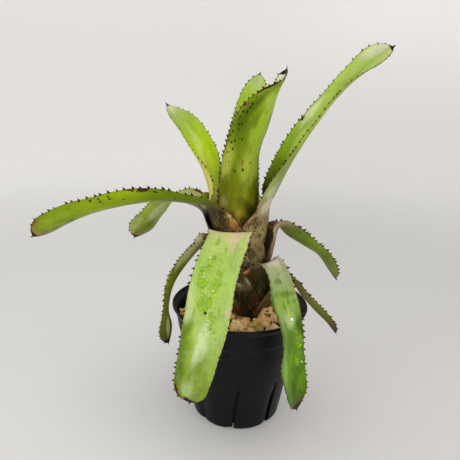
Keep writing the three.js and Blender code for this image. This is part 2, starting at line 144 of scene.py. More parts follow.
@dataclass
class Shell:
    """Vertices, faces and per-vertex values of one mesh, gathered part by part."""

    points: list[Array] = field(default_factory=list)
    faces: list[Array] = field(default_factory=list)
    values: dict[str, list[Array]] = field(default_factory=dict)
    count: int = 0

    def add(self, points: Array, *faces: Array, **values: Array | float) -> None:
        """Adds one part.

        Args:
            points: Positions in millimetres, one row each.
            faces: Rows of three or four vertex numbers, counted within the part.
            values: Per-vertex numbers or rows of numbers by name.
        """
        self.points.append(points)
        self.faces += [rows + self.count for rows in faces]
        for name, value in values.items():
            rows = np.asarray(value, dtype=float)
            if rows.ndim == 0:
                rows = np.full(len(points), float(rows))
            self.values.setdefault(name, []).append(rows)
        self.count += len(points)

    def build(self, name: str, material: bpy.types.Material) -> bpy.types.Object:
        """Makes the Blender object, without the vertices that no face uses.

        Args:
            name: The piece's name.
            material: Its finish.

        Returns:
            The new object, at the origin, with its place in its mesh.
        """
        mesh = bpy.data.meshes.new(name)
        used = np.unique(np.concatenate([rows.ravel() for rows in self.faces]))
        number = np.zeros(self.count, dtype=int)
        number[used] = np.arange(len(used))
        outlines = [face for rows in self.faces for face in number[rows].tolist()]
        mesh.from_pydata((np.vstack(self.points)[used] * MM).tolist(), [], outlines)
        for key, parts in self.values.items():
            rows = np.concatenate(parts)[used]
            if key == "uv":
                self._lay_uv(mesh, rows)
            elif rows.ndim == 2:
                shade = mesh.attributes.new(key, "FLOAT_COLOR", "POINT")
                shade.data.foreach_set("color", np.column_stack([rows, np.ones(len(rows))]).ravel())
            else:
                mesh.attributes.new(key, "FLOAT", "POINT").data.foreach_set("value", rows)
        mesh.polygons.foreach_set("use_smooth", np.ones(len(mesh.polygons), dtype=bool))
        mesh.materials.append(material)
        mesh.update()
        piece = bpy.data.objects.new(name, mesh)
        bpy.context.collection.objects.link(piece)
        return piece

    @staticmethod
    def _lay_uv(mesh: bpy.types.Mesh, rows: Array) -> None:
        """Lays the per-vertex places out on the faces' corners as the UV map.

        Args:
            mesh: The mesh.
            rows: The places.
        """
        vertex_at = np.empty(len(mesh.loops), dtype=np.int32)
        mesh.loops.foreach_get("vertex_index", vertex_at)
        layer = mesh.uv_layers.new(name="UVMap")
        layer.uv.foreach_set("vector", rows[vertex_at].ravel())


def ring_faces(rings: int, around: int) -> Array:
    """Quads between neighbouring closed rings of a tube.

    Args:
        rings: Number of rings.
        around: Number of vertices in each.

    Returns:
        Rows of four vertex numbers, facing out where the rings run anticlockwise as seen from
        the last ring's end.
    """
    i = np.arange(rings - 1)[:, None]
    j = np.arange(around)[None, :]
    k = (j + 1) % around
    low, high = i * around, (i + 1) * around
    return np.stack([low + j, low + k, high + k, high + j]).reshape(4, -1).T


def fan_faces(rim: Array, centre: int, flip: bool = False) -> Array:
    """Triangles from a closed rim of vertices to one centre vertex.

    Args:
        rim: The rim's vertex numbers, in order.
        centre: The centre's number.
        flip: Whether the triangles face the other way.

    Returns:
        Rows of three vertex numbers.
    """
    after = np.roll(rim, -1)
    first, second = (after, rim) if flip else (rim, after)
    return np.column_stack([first, second, np.full(len(rim), centre)])


def turned(profile: Array) -> Array:
    """Points of rings of TURNED_SIDES vertices round +Z.

    Args:
        profile: Rows of radius and height.

    Returns:
        The points ring by ring, (r sin a, -r cos a, z) at each angle a.
    """
    angle = np.arange(TURNED_SIDES) * 2.0 * math.pi / TURNED_SIDES
    radius = profile[:, 0:1]
    z = np.broadcast_to(profile[:, 1:2], (len(profile), TURNED_SIDES))
    return np.stack([radius * np.sin(angle), -radius * np.cos(angle), z], -1).reshape(-1, 3)


@dataclass(frozen=True)
class Coat:
    """A coat of colour over a pattern of numbers.

    It starts where the pattern is at `start` and reaches its `share` where the pattern is at `full`.
    """

    start: float
    full: float
    share: float
    code: str
    blend: Blend = Blend.OVER


class NodeBench:
    """Adds and links the nodes of one material."""

    def __init__(self, name: str) -> None:
        """Starts a material with its principled shader.

        Args:
            name: The finish's name.
        """
        self.material = bpy.data.materials.new(name)
        self.material.use_nodes = True
        self.tree = self.material.node_tree
        self.shader = self.tree.nodes["Principled BSDF"]

    def node(self, kind: str, fed: dict[str | int, object], **settings: object) -> bpy.types.Node:
        """Adds a node.

        Args:
            kind: Its type.
            fed: What its sockets are linked or set to, by their names or numbers.
            settings: Its properties.

        Returns:
            The node.
        """
        made = self.tree.nodes.new(kind)
        for key, value in settings.items():
            setattr(made, key, value)
        for key, value in fed.items():
            self.feed(made.inputs[key], value)
        return made

    def feed(self, socket: Socket, value: object) -> None:
        """Links a socket to another, or sets its own value.

        Args:
            socket: The socket.
            value: What it gets.
        """
        if isinstance(value, bpy.types.NodeSocket):
            self.tree.links.new(value, socket)
        else:
            socket.default_value = value

    def finish(self, **values: object) -> bpy.types.Material:
        """Feeds the shader's sockets, named with underscores for spaces, and gives the material."""
        for key, value in values.items():
            self.feed(self.shader.inputs[key.replace("_", " ")], value)
        return self.material

    def value_of(self, name: str) -> Socket:
        """A per-vertex number by name."""
        return self.node("ShaderNodeAttribute", {}, attribute_name=name).outputs["Fac"]

    def colour_of(self, name: str) -> Socket:
        """A per-vertex colour by name."""
        return self.node("ShaderNodeAttribute", {}, attribute_name=name).outputs["Color"]

    def place(self, x: float, y: float, z: float) -> Socket:
        """Coordinates in space, with so many units of a pattern to a millimetre along each axis."""
        return self._scaled("Object", [x / MM, y / MM, z / MM])

    def over(self, across: float, along: float) -> Socket:
        """Coordinates that follow a leaf's surface, with so many units of a pattern to a millimetre."""
        return self._scaled("UV", [across * UV_MM, along * UV_MM, UV_MM])

    def _scaled(self, source: str, scale: list[float]) -> Socket:
        """One kind of texture coordinates, scaled along each axis."""
        spot = self.node("ShaderNodeTexCoord", {}).outputs[source]
        return self.node("ShaderNodeMapping", {"Vector": spot, "Scale": scale}).outputs["Vector"]

    def noise(self, vector: Socket, detail: float = 3.0, rough: float = 0.55) -> Socket:
        """Cloudy noise around one half, with clouds about one unit wide."""
        fed = {"Vector": vector, "Scale": 1.0, "Detail": detail, "Roughness": rough}
        return self.node("ShaderNodeTexNoise", fed).outputs["Fac"]

    def cells(self, vector: Socket) -> tuple[Socket, Socket]:
        """Cells about one unit wide: the distance from a cell's middle, and the cell's own colour."""
        made = self.node("ShaderNodeTexVoronoi", {"Vector": vector, "Scale": 1.0}, feature="F1")
        return made.outputs["Distance"], made.outputs["Color"]

    def chance(self, colour: Socket) -> Socket:
        """A random number from 0 to 1, from a cell's own colour."""
        return self.node("ShaderNodeSeparateColor", {"Color": colour}).outputs["Red"]

    def level(
        self, value: Socket, low: float, high: float, bottom: float = 0.0, top: float = 1.0
    ) -> Socket:
        """A smooth step from bottom to top as the value goes from low to high."""
        fed = {"Value": value, "From Min": low, "From Max": high, "To Min": bottom, "To Max": top}
        return self.node("ShaderNodeMapRange", fed, interpolation_type="SMOOTHSTEP").outputs["Result"]

    def _worked(self, operation: str, a: object, b: object = 0.0) -> Socket:
        """The answer of a sum of one or two numbers."""
        return self.node("ShaderNodeMath", {0: a, 1: b}, operation=operation).outputs[0]

    def add(self, a: object, b: object) -> Socket:
        """One number plus another."""
        return self._worked("ADD", a, b)

    def less(self, a: object, b: object) -> Socket:
        """One number less another."""
        return self._worked("SUBTRACT", a, b)

    def times(self, a: object, b: object) -> Socket:
        """The product of two numbers."""
        return self._worked("MULTIPLY", a, b)

    def larger(self, a: object, b: object) -> Socket:
        """The larger of two numbers."""
        return self._worked("MAXIMUM", a, b)

    def root(self, a: object) -> Socket:
        """The square root of a number."""
        return self._worked("SQRT", a)

    def paint(self, share: object, under: object, code: str, blend: Blend = Blend.OVER) -> Socket:
        """A colour code laid over a colour by a share."""
        fed = {0: share, 6: under, 7: rgba(code)}
        return self.node("ShaderNodeMix", fed, data_type="RGBA", blend_type=blend.value).outputs[2]

    def coat(self, under: object, pattern: Socket, coat: Coat, where: Socket | None = None) -> Socket:
        """Lays a coat where a pattern is within its range.

        Args:
            under: The colour under it.
            pattern: Numbers, usually of a noise.
            coat: The coat.
            where: A share for the place, that thins the coat.

        Returns:
            The colour with the coat on it.
        """
        share = self.level(pattern, coat.start, coat.full, 0.0, coat.share)
        if where is not None:
            share = self.times(share, where)
        return self.paint(share, under, coat.code, coat.blend)

    def bump(
        self, height: Socket, distance: float, strength: float, normal: Socket | None = None
    ) -> Socket:
        """A bumped normal.

        Args:
            height: The relief, 0 to 1.
            distance: Its full height in millimetres.
            strength: How much of it shows.
            normal: An earlier bump to stand on.

        Returns:
            The normal.
        """
        fed = {"Height": height, "Distance": distance * MM, "Strength": strength}
        if normal is not None:
            fed["Normal"] = normal
        return self.node("ShaderNodeBump", fed).outputs["Normal"]


@dataclass(frozen=True)
class LeafFinish:
    """How a leaf's two faces look; colour stops are at millimetres past the mouth of its sheath.

    The shares run from 0 to 1: `veins` of the fine lines along the blade, `cloud` of its broad
    light and dark drifts, `mottle` of its dark blotches, `bloom` of its silvery scales, and `bark`
    of the corky marks on its sheath.
    """

    upper: Stops
    under: Stops
    veins: float = 0.3
    cloud: float = 0.4
    mottle: float = 0.3
    bloom: float = 0.12
    bark: float = 1.0
    rim: str = "#5a4420"
    rim_share: float = 0.5
    rough: float = 0.44

    # Where water shows and is deepest, by how soaked the skin is, and how smooth it makes it.
    wet_range = (0.48, 0.9)
    wet_smooth = 0.2
    # How far the roughness strays below and above its own value.
    rough_stray = (-0.07, 0.1)

    def material(self, name: str) -> bpy.types.Material:
        """Living leaf skin with its corky sheath, specks, dead patches that also carry painted shade,
        hard spines, and water with painted glints.

        Args:
            name: The finish's name.

        Returns:
            The material, which reads the leaf's own values and surface coordinates.
        """
        bench = NodeBench(name)
        drifts = bench.noise(bench.over(0.075, 0.024), 4.0, 0.55)
        lines = bench.noise(bench.over(1.6, 0.02), 2.0, 0.5)
        cork = bench.noise(bench.over(0.24, 0.11), 6.0, 0.7)
        corky = bench.times(bench.value_of("sheath"), self.bark)
        soaked = self._soaked(bench)
        wet = bench.level(soaked, *self.wet_range)

        skin = self._living(bench, bench.colour_of("tint"), drifts, lines)
        skin = self._wetted(bench, skin, soaked, wet)
        skin = self._corky(bench, skin, corky, cork)
        skin = self._harmed(bench, skin)
        skin = self._hard(bench, skin)

        normal = bench.bump(lines, 0.12, 0.5)
        normal = bench.bump(drifts, 1.0, 0.4, normal)
        normal = bench.bump(bench.times(cork, corky), 0.7, 0.8, normal)
        normal = bench.bump(wet, 0.7, 0.8, normal)
        scales = bench.noise(bench.over(0.35, 0.5), 5.0, 0.7)
        smoothest, roughest = (self.rough + stray for stray in self.rough_stray)
        rough = bench.level(scales, 0.3, 0.7, smoothest, roughest)
        rough = bench.times(rough, bench.level(wet, 0.0, 1.0, 1.0, self.wet_smooth))
        return bench.finish(
            Base_Color=skin,
            Roughness=rough,
            Normal=normal,
            Subsurface_Weight=0.14,
            Subsurface_Radius=(0.6, 1.0, 0.2),
            Subsurface_Scale=0.0015,
            Specular_IOR_Level=0.24,
            Specular_Tint=rgba("#dce86c"),
        )

    def _soaked(self, bench: NodeBench) -> Socket:
        """How soaked the skin is: the leaf's wet areas, broken up into drops and ripples by two noises.

        Args:
            bench: The finish's nodes.

        Returns:
            A number from 0 for dry skin to 1 and above.
        """
        drenched = bench.value_of("wet")
        drops = bench.level(bench.noise(bench.over(1.0, 0.62), 6.0, 0.68), 0.25, 0.75, -0.45, 0.45)
        ripples = bench.level(bench.noise(bench.over(2.3, 1.7), 4.0, 0.7), 0.3, 0.7, -0.26, 0.26)
        soaked = bench.add(bench.add(drenched, drops), ripples)
        return bench.times(soaked, bench.level(drenched, 0.02, 0.2))

    def _living(self, bench: NodeBench, tint: Socket, drifts: Socket, lines: Socket) -> Socket:
        """The tint with drifts, blotches, fine lines, grain and silvery scales.

        Args:
            bench: The finish's nodes.
            tint: The leaf's own colour.
            drifts: Broad cloudy noise.
            lines: Fine noise along the blade.

        Returns:
            The colour.
        """
        skin = bench.coat(tint, drifts, Coat(0.5, 0.72, self.cloud, "#80902c", Blend.DARKEN))
        skin = bench.coat(skin, drifts, Coat(0.5, 0.3, self.cloud, "#ecf08c", Blend.GLOW))
        blotches = bench.noise(bench.over(0.24, 0.085), 5.0, 0.66)
        skin = bench.coat(skin, blotches, Coat(0.52, 0.68, self.mottle, "#64820c", Blend.DARKEN))
        line_share = 0.6 * self.veins
        skin = bench.coat(skin, lines, Coat(0.5, 0.75, line_share, "#7c9034", Blend.DARKEN))
        skin = bench.coat(skin, lines, Coat(0.5, 0.25, line_share, "#e9f098", Blend.GLOW))
        grain = bench.noise(bench.over(1.3, 0.9), 2.0, 0.6)
        skin = bench.coat(skin, grain, Coat(0.45, 0.7, 0.3, "#a2ab60", Blend.DARKEN))
        scales = bench.noise(bench.over(0.3, 0.3), 6.0, 0.75)
        bands = bench.level(bench.noise(bench.over(0.07, 0.16)), 0.35, 0.65, 0.4, 1.0)
        silver = bench.times(bench.level(scales, 0.36, 0.64, 0.0, self.bloom), bands)
        return bench.paint(bench.times(silver, bench.value_of("silver")), skin, "#ccd4b8")

    def _wetted(self, bench: NodeBench, skin: Socket, soaked: Socket, wet: Socket) -> Socket:
        """Skin seen through drops: a deeper green, with small painted highlights that stand for the light
        the drops catch.

        Args:
            bench: The finish's nodes.
            skin: The colour so far.
            soaked: How soaked the skin is.
            wet: Where water shows.

        Returns:
            The colour.
        """
        skin = bench.coat(skin, soaked, Coat(0.2, 0.5, 0.4, "#a2c848"))
        skin = bench.paint(bench.times(wet, 0.66), skin, "#86b810")
        # painted highlights: small pale glints in soaked places, for the light caught by the drops
        away, own = bench.cells(bench.over(0.6, 0.5))
        painted_glints = bench.times(bench.level(away, 0.3, 0.16), bench.level(bench.chance(own), 0.54, 0.58))
        return bench.paint(bench.times(painted_glints, bench.level(soaked, 0.36, 0.6)), skin, "#faffe4")

    def _corky(self, bench: NodeBench, skin: Socket, corky: Socket, cork: Socket) -> Socket:
        """Purple-black and beige marks, dark threads and dots on the sheath.

        Args:
            bench: The finish's nodes.
            skin: The colour so far.
            corky: How corky a place is.
            cork: The cork's noise.

        Returns:
            The colour.
        """
        skin = bench.coat(skin, cork, Coat(0.5, 0.62, 0.75, "#261411"), corky)
        skin = bench.coat(skin, cork, Coat(0.45, 0.32, 0.5, "#b7a284"), corky)
        crust = bench.noise(bench.over(0.6, 0.4), 6.0, 0.68)
        skin = bench.coat(skin, crust, Coat(0.52, 0.6, 0.72, "#301a14"), corky)
        skin = bench.coat(skin, crust, Coat(0.46, 0.38, 0.5, "#a89478"), corky)
        threads = bench.noise(bench.over(1.5, 0.07), 4.0, 0.6)
        skin = bench.coat(skin, threads, Coat(0.54, 0.7, 0.6, "#1c0f0a"), corky)
        away, own = bench.cells(bench.over(0.55, 0.4))
        dotted = bench.times(bench.level(away, 0.3, 0.16, 0.0, 0.7), corky)
        dotted = bench.times(dotted, bench.level(bench.chance(own), 0.55, 0.6))
        return bench.paint(dotted, skin, "#1f0f0a")

    def _harmed(self, bench: NodeBench, skin: Socket) -> Socket:
        """Specks where the leaf says so, and patches that died, brown inside a tan line; the same browns
        also paint the shade on one loose sheath's inner face.

        Args:
            bench: The finish's nodes.
            skin: The colour so far.

        Returns:
            The colour.
        """
        away, own = bench.cells(bench.over(0.38, 0.3))
        present = bench.level(bench.less(bench.value_of("speck"), bench.chance(own)), 0.0, 0.25)
        skin = bench.paint(bench.times(bench.level(away, 0.4, 0.22), present), skin, "#20180a")
        ragged = bench.level(bench.noise(bench.over(0.5, 0.4), 5.0, 0.65), 0.2, 0.8, -0.32, 0.32)
        # these dead values also carry painted shade, laid in the same browns
        dying_and_shade = bench.add(bench.value_of("dead_and_shade"), ragged)
        skin = bench.coat(skin, dying_and_shade, Coat(0.3, 0.5, 1.0, "#8a6a34"))
        return bench.coat(skin, dying_and_shade, Coat(0.48, 0.66, 1.0, "#341a10"))

    def _hard(self, bench: NodeBench, skin: Socket) -> Socket:
        """The thin broken line along the margins, and the dark spines.

        Args:
            bench: The finish's nodes.
            skin: The colour so far.

        Returns:
            The colour.
        """
        broken = bench.level(bench.noise(bench.over(0.2, 0.35)), 0.35, 0.6, 0.35, 1.0)
        skin = bench.coat(skin, bench.value_of("edge"), Coat(1.0, 0.15, self.rim_share, self.rim), broken)
        return bench.coat(skin, bench.value_of("horn"), Coat(0.0, 0.4, 1.0, "#1d100a"))


@dataclass(frozen=True)
class Tube:
    """The leaning line that the nested sheaths stand round.

    At each of `heights`, `core` is the radius of the innermost sheath and `step` is how much
    farther out each next one stands. A loose sheath leaves the others from `loose_from` up to
    `loose_to`, above which it keeps its distance.
    """

    foot: tuple[float, float, float] = (9.0, -2.0, 95.0)
    lean: tuple[float, float] = (-0.138, 0.02)
    heights: tuple[float, ...] = (95, 98, 101, 104, 108, 118, 130, 142, 156, 170, 181, 192)
    core: tuple[float, ...] = (1.6, 3.4, 5.0, 6.2, 7.0, 7.6, 8.4, 10.2, 14.0, 18.0, 20.4, 22.2)
    step: tuple[float, ...] = (1.12, 1.17, 1.22, 1.26, 1.3, 1.3, 1.3, 1.3, 1.32, 1.34, 1.35, 1.35)
    loose_from: float = 122.0
    loose_to: float = 150.0

    def centre(self, z: Array) -> Array:
        """Points of the line at the heights.

        Args:
            z: Heights.

        Returns:
            One point per height.
        """
        x, y, foot = self.foot
        rise = z - foot
        return np.stack([x + self.lean[0] * rise, y + self.lean[1] * rise, z], axis=-1)

    def radius(self, nest: float, loose: float, z: Array) -> Array:
        """Radius of one sheath at the heights.

        Args:
            nest: How many sheaths are inside it.
            loose: How far its upper part stands off them.
            z: Heights.

        Returns:
            Radii in millimetres.
        """
        held = np.interp(z, self.heights, self.core) + nest * np.interp(z, self.heights, self.step)
        return held + loose * np.clip((z - self.loose_from) / (self.loose_to - self.loose_from), 0.0, 1.0)


TUBE = Tube()


class Face(Enum):
    """The faces of a leaf that an area lies on, as the shares of its upper and under face."""

    UPPER = (1.0, 0.0)
    UNDER = (0.0, 1.0)
    BOTH = (1.0, 1.0)


@dataclass(frozen=True)
class Area:
    """An area of a leaf: its middle past the mouth and across, from -1 to 1, and its half sizes."""

    reach: float
    across: float
    length: float
    width: float
    amount: float = 1.0
    face: Face = Face.BOTH

    # Half sizes from the middle at which an area is still whole, and at which it is gone.
    fade = (0.5, 1.4)

    def cover(self, reach: Array, s: Array, face: Array) -> Array:
        """How much of the area is at each place.

        It is `amount` in the middle and falls smoothly over the distances of `fade`. Sines of the
        place stir the distance, so that the area's edge isn't an oval.

        Args:
            reach: Millimetres past the mouth.
            s: Places across, -1 to 1.
            face: 1 on the upper face and 0 on the under face.

        Returns:
            Shares from 0 to 1.
        """
        stir = 0.12 * np.sin(reach / 3.1 + 5.0 * s + self.reach) + 0.1 * np.sin(reach / 7.3 - 9.0 * s)
        away = np.hypot((reach - self.reach) / self.length, (s - self.across) / self.width) + stir
        top, bottom = self.face.value
        whole, gone = self.fade
        return self.amount * ease(gone, whole, away) * (bottom + (top - bottom) * face)


@dataclass(frozen=True)
class Rows:
    """Cross-sections of a leaf from foot to tip, one row each."""

    centre: Array
    half_width: Array
    trough: Array
    thick: Array
    across: Array
    up: Array
    along: Array
    reach: Array
    to_tip: Array

    def normal(self, index: Array, s: Array) -> Array:
        """Ways out of the upper face at places of sections."""
        angle = self.trough[index] * s
        return self.up[index] * np.cos(angle)[:, None] - self.across[index] * np.sin(angle)[:, None]

    def outward(self, index: Array, s: Array) -> Array:
        """Ways along the section towards its right margin at places of sections."""
        angle = self.trough[index] * s
        return self.across[index] * np.cos(angle)[:, None] + self.up[index] * np.sin(angle)[:, None]


@dataclass(frozen=True)
class Leaf:
    """One leaf: a sheath that wraps the tube and a spiny strap blade.

    The sheath wraps the tube by `hug` degrees either side of the azimuth at its foot, and by `neck`
    degrees at its mouth. Each station of the blade is reach from the pot's axis, side to the right
    of that, height above the table, half the flat width, half the angle of the trough, and the
    turn of the blade about its own line. Azimuths run from the front towards the right.

    The tints and other areas are laid one over another in order; some tints, stops and areas are
    painted highlights and painted shade. `tip` is the length over which the end rounds off, `tip_dead`
    the length of the hard dark end, and `tip_spine` of its point.
    """

    name: str
    azimuth: float
    nest: float
    foot: float
    mouth: float
    neck: float
    tip: float
    stations: tuple[tuple[float, ...], ...]
    finish: LeafFinish
    hug: float = 100.0
    shoulder: float = 2.0
    loose: float = 0.0
    spine_gap: float = 5.2
    spine_length: float = 2.5
    tip_dead: float = 3.0
    tip_spine: float = 3.4
    wave: float = 0.5
    specks: float = 0.06
    tints: tuple[tuple[str, Area], ...] = ()
    specked: tuple[Area, ...] = ()
    dead_and_shade: tuple[Area, ...] = ()
    wet: tuple[Area, ...] = ()
    seed: int = 1

    # Thickness of the sheath, of the blade along its middle, and of its margins.
    sheath_thick = 0.6
    blade_thick = 1.3
    edge_thick = 0.6
    # How far out the middle of a margin's rounding lies, as a share of its thickness.
    edge_swell = 0.3
    # The mesh: spacing of its rows, places across each face, and samples of the line to a span. Over
    # the last `tight_length` the rows close in, down to `tight_share` of their spacing.
    row_step = 1.25
    columns = 33
    samples = 60
    tight_length = 6.0
    tight_share = 0.6
    # Spans over which the sections turn from level to square, and how far below the mouth the way
    # into the blade is read.
    square_spans = 1.5
    lead_drop = 2.0
    # Powers of the rounded end, and the share of the width that is left at the very tip.
    tip_powers = (2.2, 0.6)
    tip_narrowest = 0.07
    # Millimetres past the mouth over which a value fades in: waves, specks, silvery scales, cork.
    wave_onset = (4.0, 30.0)
    speck_onset = (-4.0, 10.0)
    silver_onset = (-10.0, 20.0)
    cork_onset = (8.0, -14.0)
    # How far from the tip it starts to be dead, and to be hard and wholly hard, in `tip_dead`.
    dying_from = 1.6
    horn_from = (1.1, 0.5)
    # The upper face is this far from the under face on the UV map, so that they don't look alike.
    face_shift = 60.0
    narrowest_map = 4.0
    # Spines: levels of their rings as shares of their height, how hard each is, and their sides.
    spine_levels = (-0.35, 0.0, 0.3, 0.6)
    spine_horn = (0.0, 0.25, 1.0, 1.0)
    spine_sides = 6
    # How close to the ends they stand, how far each strays in its gap, and how sizes vary.
    spine_ends = 3.0
    spine_stray = 0.22
    spine_sizes = (0.7, 1.15)
    # Their size by the mouth, what they lose of it by the tip, and where that starts.
    spine_most = 1.1
    spine_loss = 0.3
    spine_from = 20.0
    # Half width of a spine's foot, its waist, how far its hook and peak reach along the leaf and how
    # deep its root is, as shares of its height; then half its thickness at the peak and what its
    # foot has on top of that.
    spine_flat = 0.52
    spine_waist = 1.1
    spine_hook = 0.5
    spine_peak = 0.55
    spine_root = 0.35
    spine_thin = 0.08
    spine_thick = 0.26
    # Drops: how many to a millimetre of a wet area, how far across they lie at most, their sizes,
    # how high they stand, how far they are sunk, and the wet and edge values that they carry.
    bead_share = 1.3
    bead_limit = 0.9
    bead_sizes = (0.35, 1.0)
    bead_scale = 1.5
    bead_height = 0.4
    bead_sink = 0.1
    bead_wet = 2.0
    bead_edge = 9.0

    def _sheath_rows(self, z: Array) -> Array:
        """Sheath rows at heights: centre, half width, trough, turn and thickness.

        The centre lies on the tube's circle at the leaf's azimuth, and the half width is the
        circle's radius times the wrapped angle, which falls with the rise to the power `shoulder`.

        Args:
            z: Heights.

        Returns:
            One row per height.
        """
        rise = (z - self.foot) / (self.mouth - self.foot)
        hug = self.hug + (self.neck - self.hug) * rise**self.shoulder
        radius = TUBE.radius(self.nest, self.loose, z)
        azimuth = math.radians(self.azimuth)
        out = np.array([math.sin(azimuth), -math.cos(azimuth), 0.0])
        centre = TUBE.centre(z) + radius[:, None] * out
        rest = [radius * np.radians(hug), hug, np.zeros_like(z), np.full_like(z, self.sheath_thick)]
        return np.column_stack([centre, *rest])

    def _blade_control(self) -> Array:
        """The blade's stations as rows, after the sheath's last row and a row that leads in.

        Returns:
            One row each, from the lead to the tip.
        """
        azimuth = math.radians(self.azimuth)
        out = np.array([math.sin(azimuth), -math.cos(azimuth)])
        right = np.array([math.cos(azimuth), math.sin(azimuth)])
        stations = np.array(self.stations)
        flat = stations[:, :1] * out + stations[:, 1:2] * right
        thick = np.full(len(stations), self.blade_thick)
        blade = np.column_stack([flat, stations[:, 2:], thick])
        below, top = self._sheath_rows(np.array([self.mouth - self.lead_drop, self.mouth]))
        first_span = np.linalg.norm(blade[0, :3] - top[:3])
        lead = top.copy()
        lead[:3] -= (top[:3] - below[:3]) / self.lead_drop * first_span
        return np.vstack([lead, top, blade])

    def rows(self) -> Rows:
        """All cross-sections, evenly spaced along the leaf but closer together at its end.

        Sheath sections are level, and over the first spans of the blade they turn square to its
        line. The width is scaled near the tip by (1 - near^2.2)^0.6, where near goes from 0 to 1
        over the length `tip`.

        Returns:
            The sections, from foot to tip.
        """
        count = int((self.mouth - self.foot) / self.row_step)
        low = self._sheath_rows(np.linspace(self.foot, self.mouth, count, endpoint=False))
        control = self._blade_control()
        spans = len(control) - 2
        fine = np.linspace(0.0, spans, self.samples * spans + 1)
        path = curve_through(control, fine)[:, :3]
        length = np.concatenate([[0.0], np.cumsum(np.linalg.norm(np.diff(path, axis=0), axis=1))])
        steps = np.linspace(0.0, length[-1], int(length[-1] / self.row_step) + 1)
        left = steps[-1] - steps
        loosening = left / self.tight_length * (1.0 - self.tight_share) + self.tight_share
        spread = steps[-1] - left * np.clip(loosening, self.tight_share, 1.0)
        u = np.interp(spread, length, fine)
        table = np.vstack([low, curve_through(control, u)])
        reach = np.concatenate([low[:, 2] - self.mouth, spread])
        to_tip = reach[-1] - reach

        near = np.clip(1.0 - to_tip / self.tip, 0.0, 1.0)
        inner, outer = self.tip_powers
        half_width = table[:, 3] * np.maximum((1.0 - near**inner) ** outer, self.tip_narrowest)
        centre = table[:, :3]
        slope = unit(np.gradient(centre, reach, axis=0))
        square = np.concatenate([np.zeros(count), np.clip(u / self.square_spans, 0.0, 1.0)])[:, None]
        along = unit(slope * square + np.array([0.0, 0.0, 1.0]) * (1.0 - square))
        azimuth = math.radians(self.azimuth)
        right = np.array([math.cos(azimuth), math.sin(azimuth), 0.0])
        flat = unit(right - along * (along @ right)[:, None])
        rise = np.cross(along, flat)
        turn = np.radians(table[:, 5])[:, None]
        across = flat * np.cos(turn) + rise * np.sin(turn)
        up = rise * np.cos(turn) - flat * np.sin(turn)
        trough = np.radians(np.maximum(table[:, 4], 1.0))
        return Rows(centre, half_width, trough, table[:, 6], across, up, along, reach, to_tip)

    def place(self, rows: Rows, index: Array, s: Array, lift: Array) -> Array:
        """Points of the blade.

        A section is an arc of half angle `trough` and length 2 x half width. Its margins also wave
        up and down along the blade, by |s|^3 times the sum of two sines of the reach.

        Args:
            rows: The leaf's sections.
            index: Section numbers.
            s: Places across, -1 to 1.
            lift: Heights above the middle surface, towards the upper face.

        Returns:
            One point per place.
        """
        trough = rows.trough[index]
        radius = rows.half_width[index] / trough
        angle = trough * s
        on_blade = ease(*self.wave_onset, rows.reach[index])
        phase = rows.reach[index] / 9.0 + self.seed * 2.1
        wave = self.wave * on_blade * np.abs(s) ** 3 * (np.sin(phase) + 0.5 * np.sin(2.3 * phase + s))
        arc = rows.across[index] * (radius * np.sin(angle))[:, None]
        arc = arc + rows.up[index] * (radius * (1.0 - np.cos(angle)))[:, None]
        return rows.centre[index] + arc + rows.normal(index, s) * (lift + wave)[:, None]

    def build(self) -> bpy.types.Object:
        """Makes the leaf with its spines, its hard tip and its drops.

        Returns:
            The piece.
        """
        rows = self.rows()
        shell = Shell()
        self._add_blade(shell, rows)
        for side in Side:
            self._add_spines(shell, rows, side)
        self._add_beads(shell, rows)
        piece = shell.build(self.name + "_dressed", self.finish.material(self.name + "_skin"))
        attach(piece, "root")
        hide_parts(self.name)
        return piece

    def _values(self, rows: Rows, index: Array, s: Array, face: Array, **own: Array) -> dict[str, Array]:
        """The per-vertex values that the finish reads.

        Args:
            rows: The leaf's sections.
            index: Section numbers.
            s: Places across, -1 to 1.
            face: 1 on the upper face and 0 on the under face.
            own: Values that stand in for the worked-out ones.

        Returns:
            The values by name.
        """
        reach, to_tip = rows.reach[index], rows.to_tip[index]
        tint = colours_at(self.finish.under, reach)
        tint = tint + (colours_at(self.finish.upper, reach) - tint) * face[:, None]
        for code, area in self.tints:
            tint = tint + (linear(code) - tint) * area.cover(reach, s, face)[:, None]
        dead_and_shade = ease(self.dying_from * self.tip_dead, 0.0, to_tip)
        for area in self.dead_and_shade:
            dead_and_shade = np.maximum(dead_and_shade, area.cover(reach, s, face))
        speck = np.full(len(reach), self.specks) * ease(*self.speck_onset, reach)
        for area in self.specked:
            speck = np.maximum(speck, area.cover(reach, s, face))
        wet = np.zeros(len(reach))
        for area in self.wet:
            wet = np.maximum(wet, area.cover(reach, s, face))
        half = np.maximum(rows.half_width[index], self.narrowest_map)
        across = s * half + self.face_shift * (face > 0.5)
        values = {
            "tint": tint,
            "edge": (1.0 - np.abs(s)) * rows.half_width[index],
            "sheath": ease(*self.cork_onset, reach),
            "silver": ease(*self.silver_onset, reach),
            "dead_and_shade": dead_and_shade,
            "speck": speck,
            "horn": np.zeros(len(reach)),
            "wet": wet,
            "uv": np.column_stack([across, reach]) / UV_MM,
        }
        return values | own

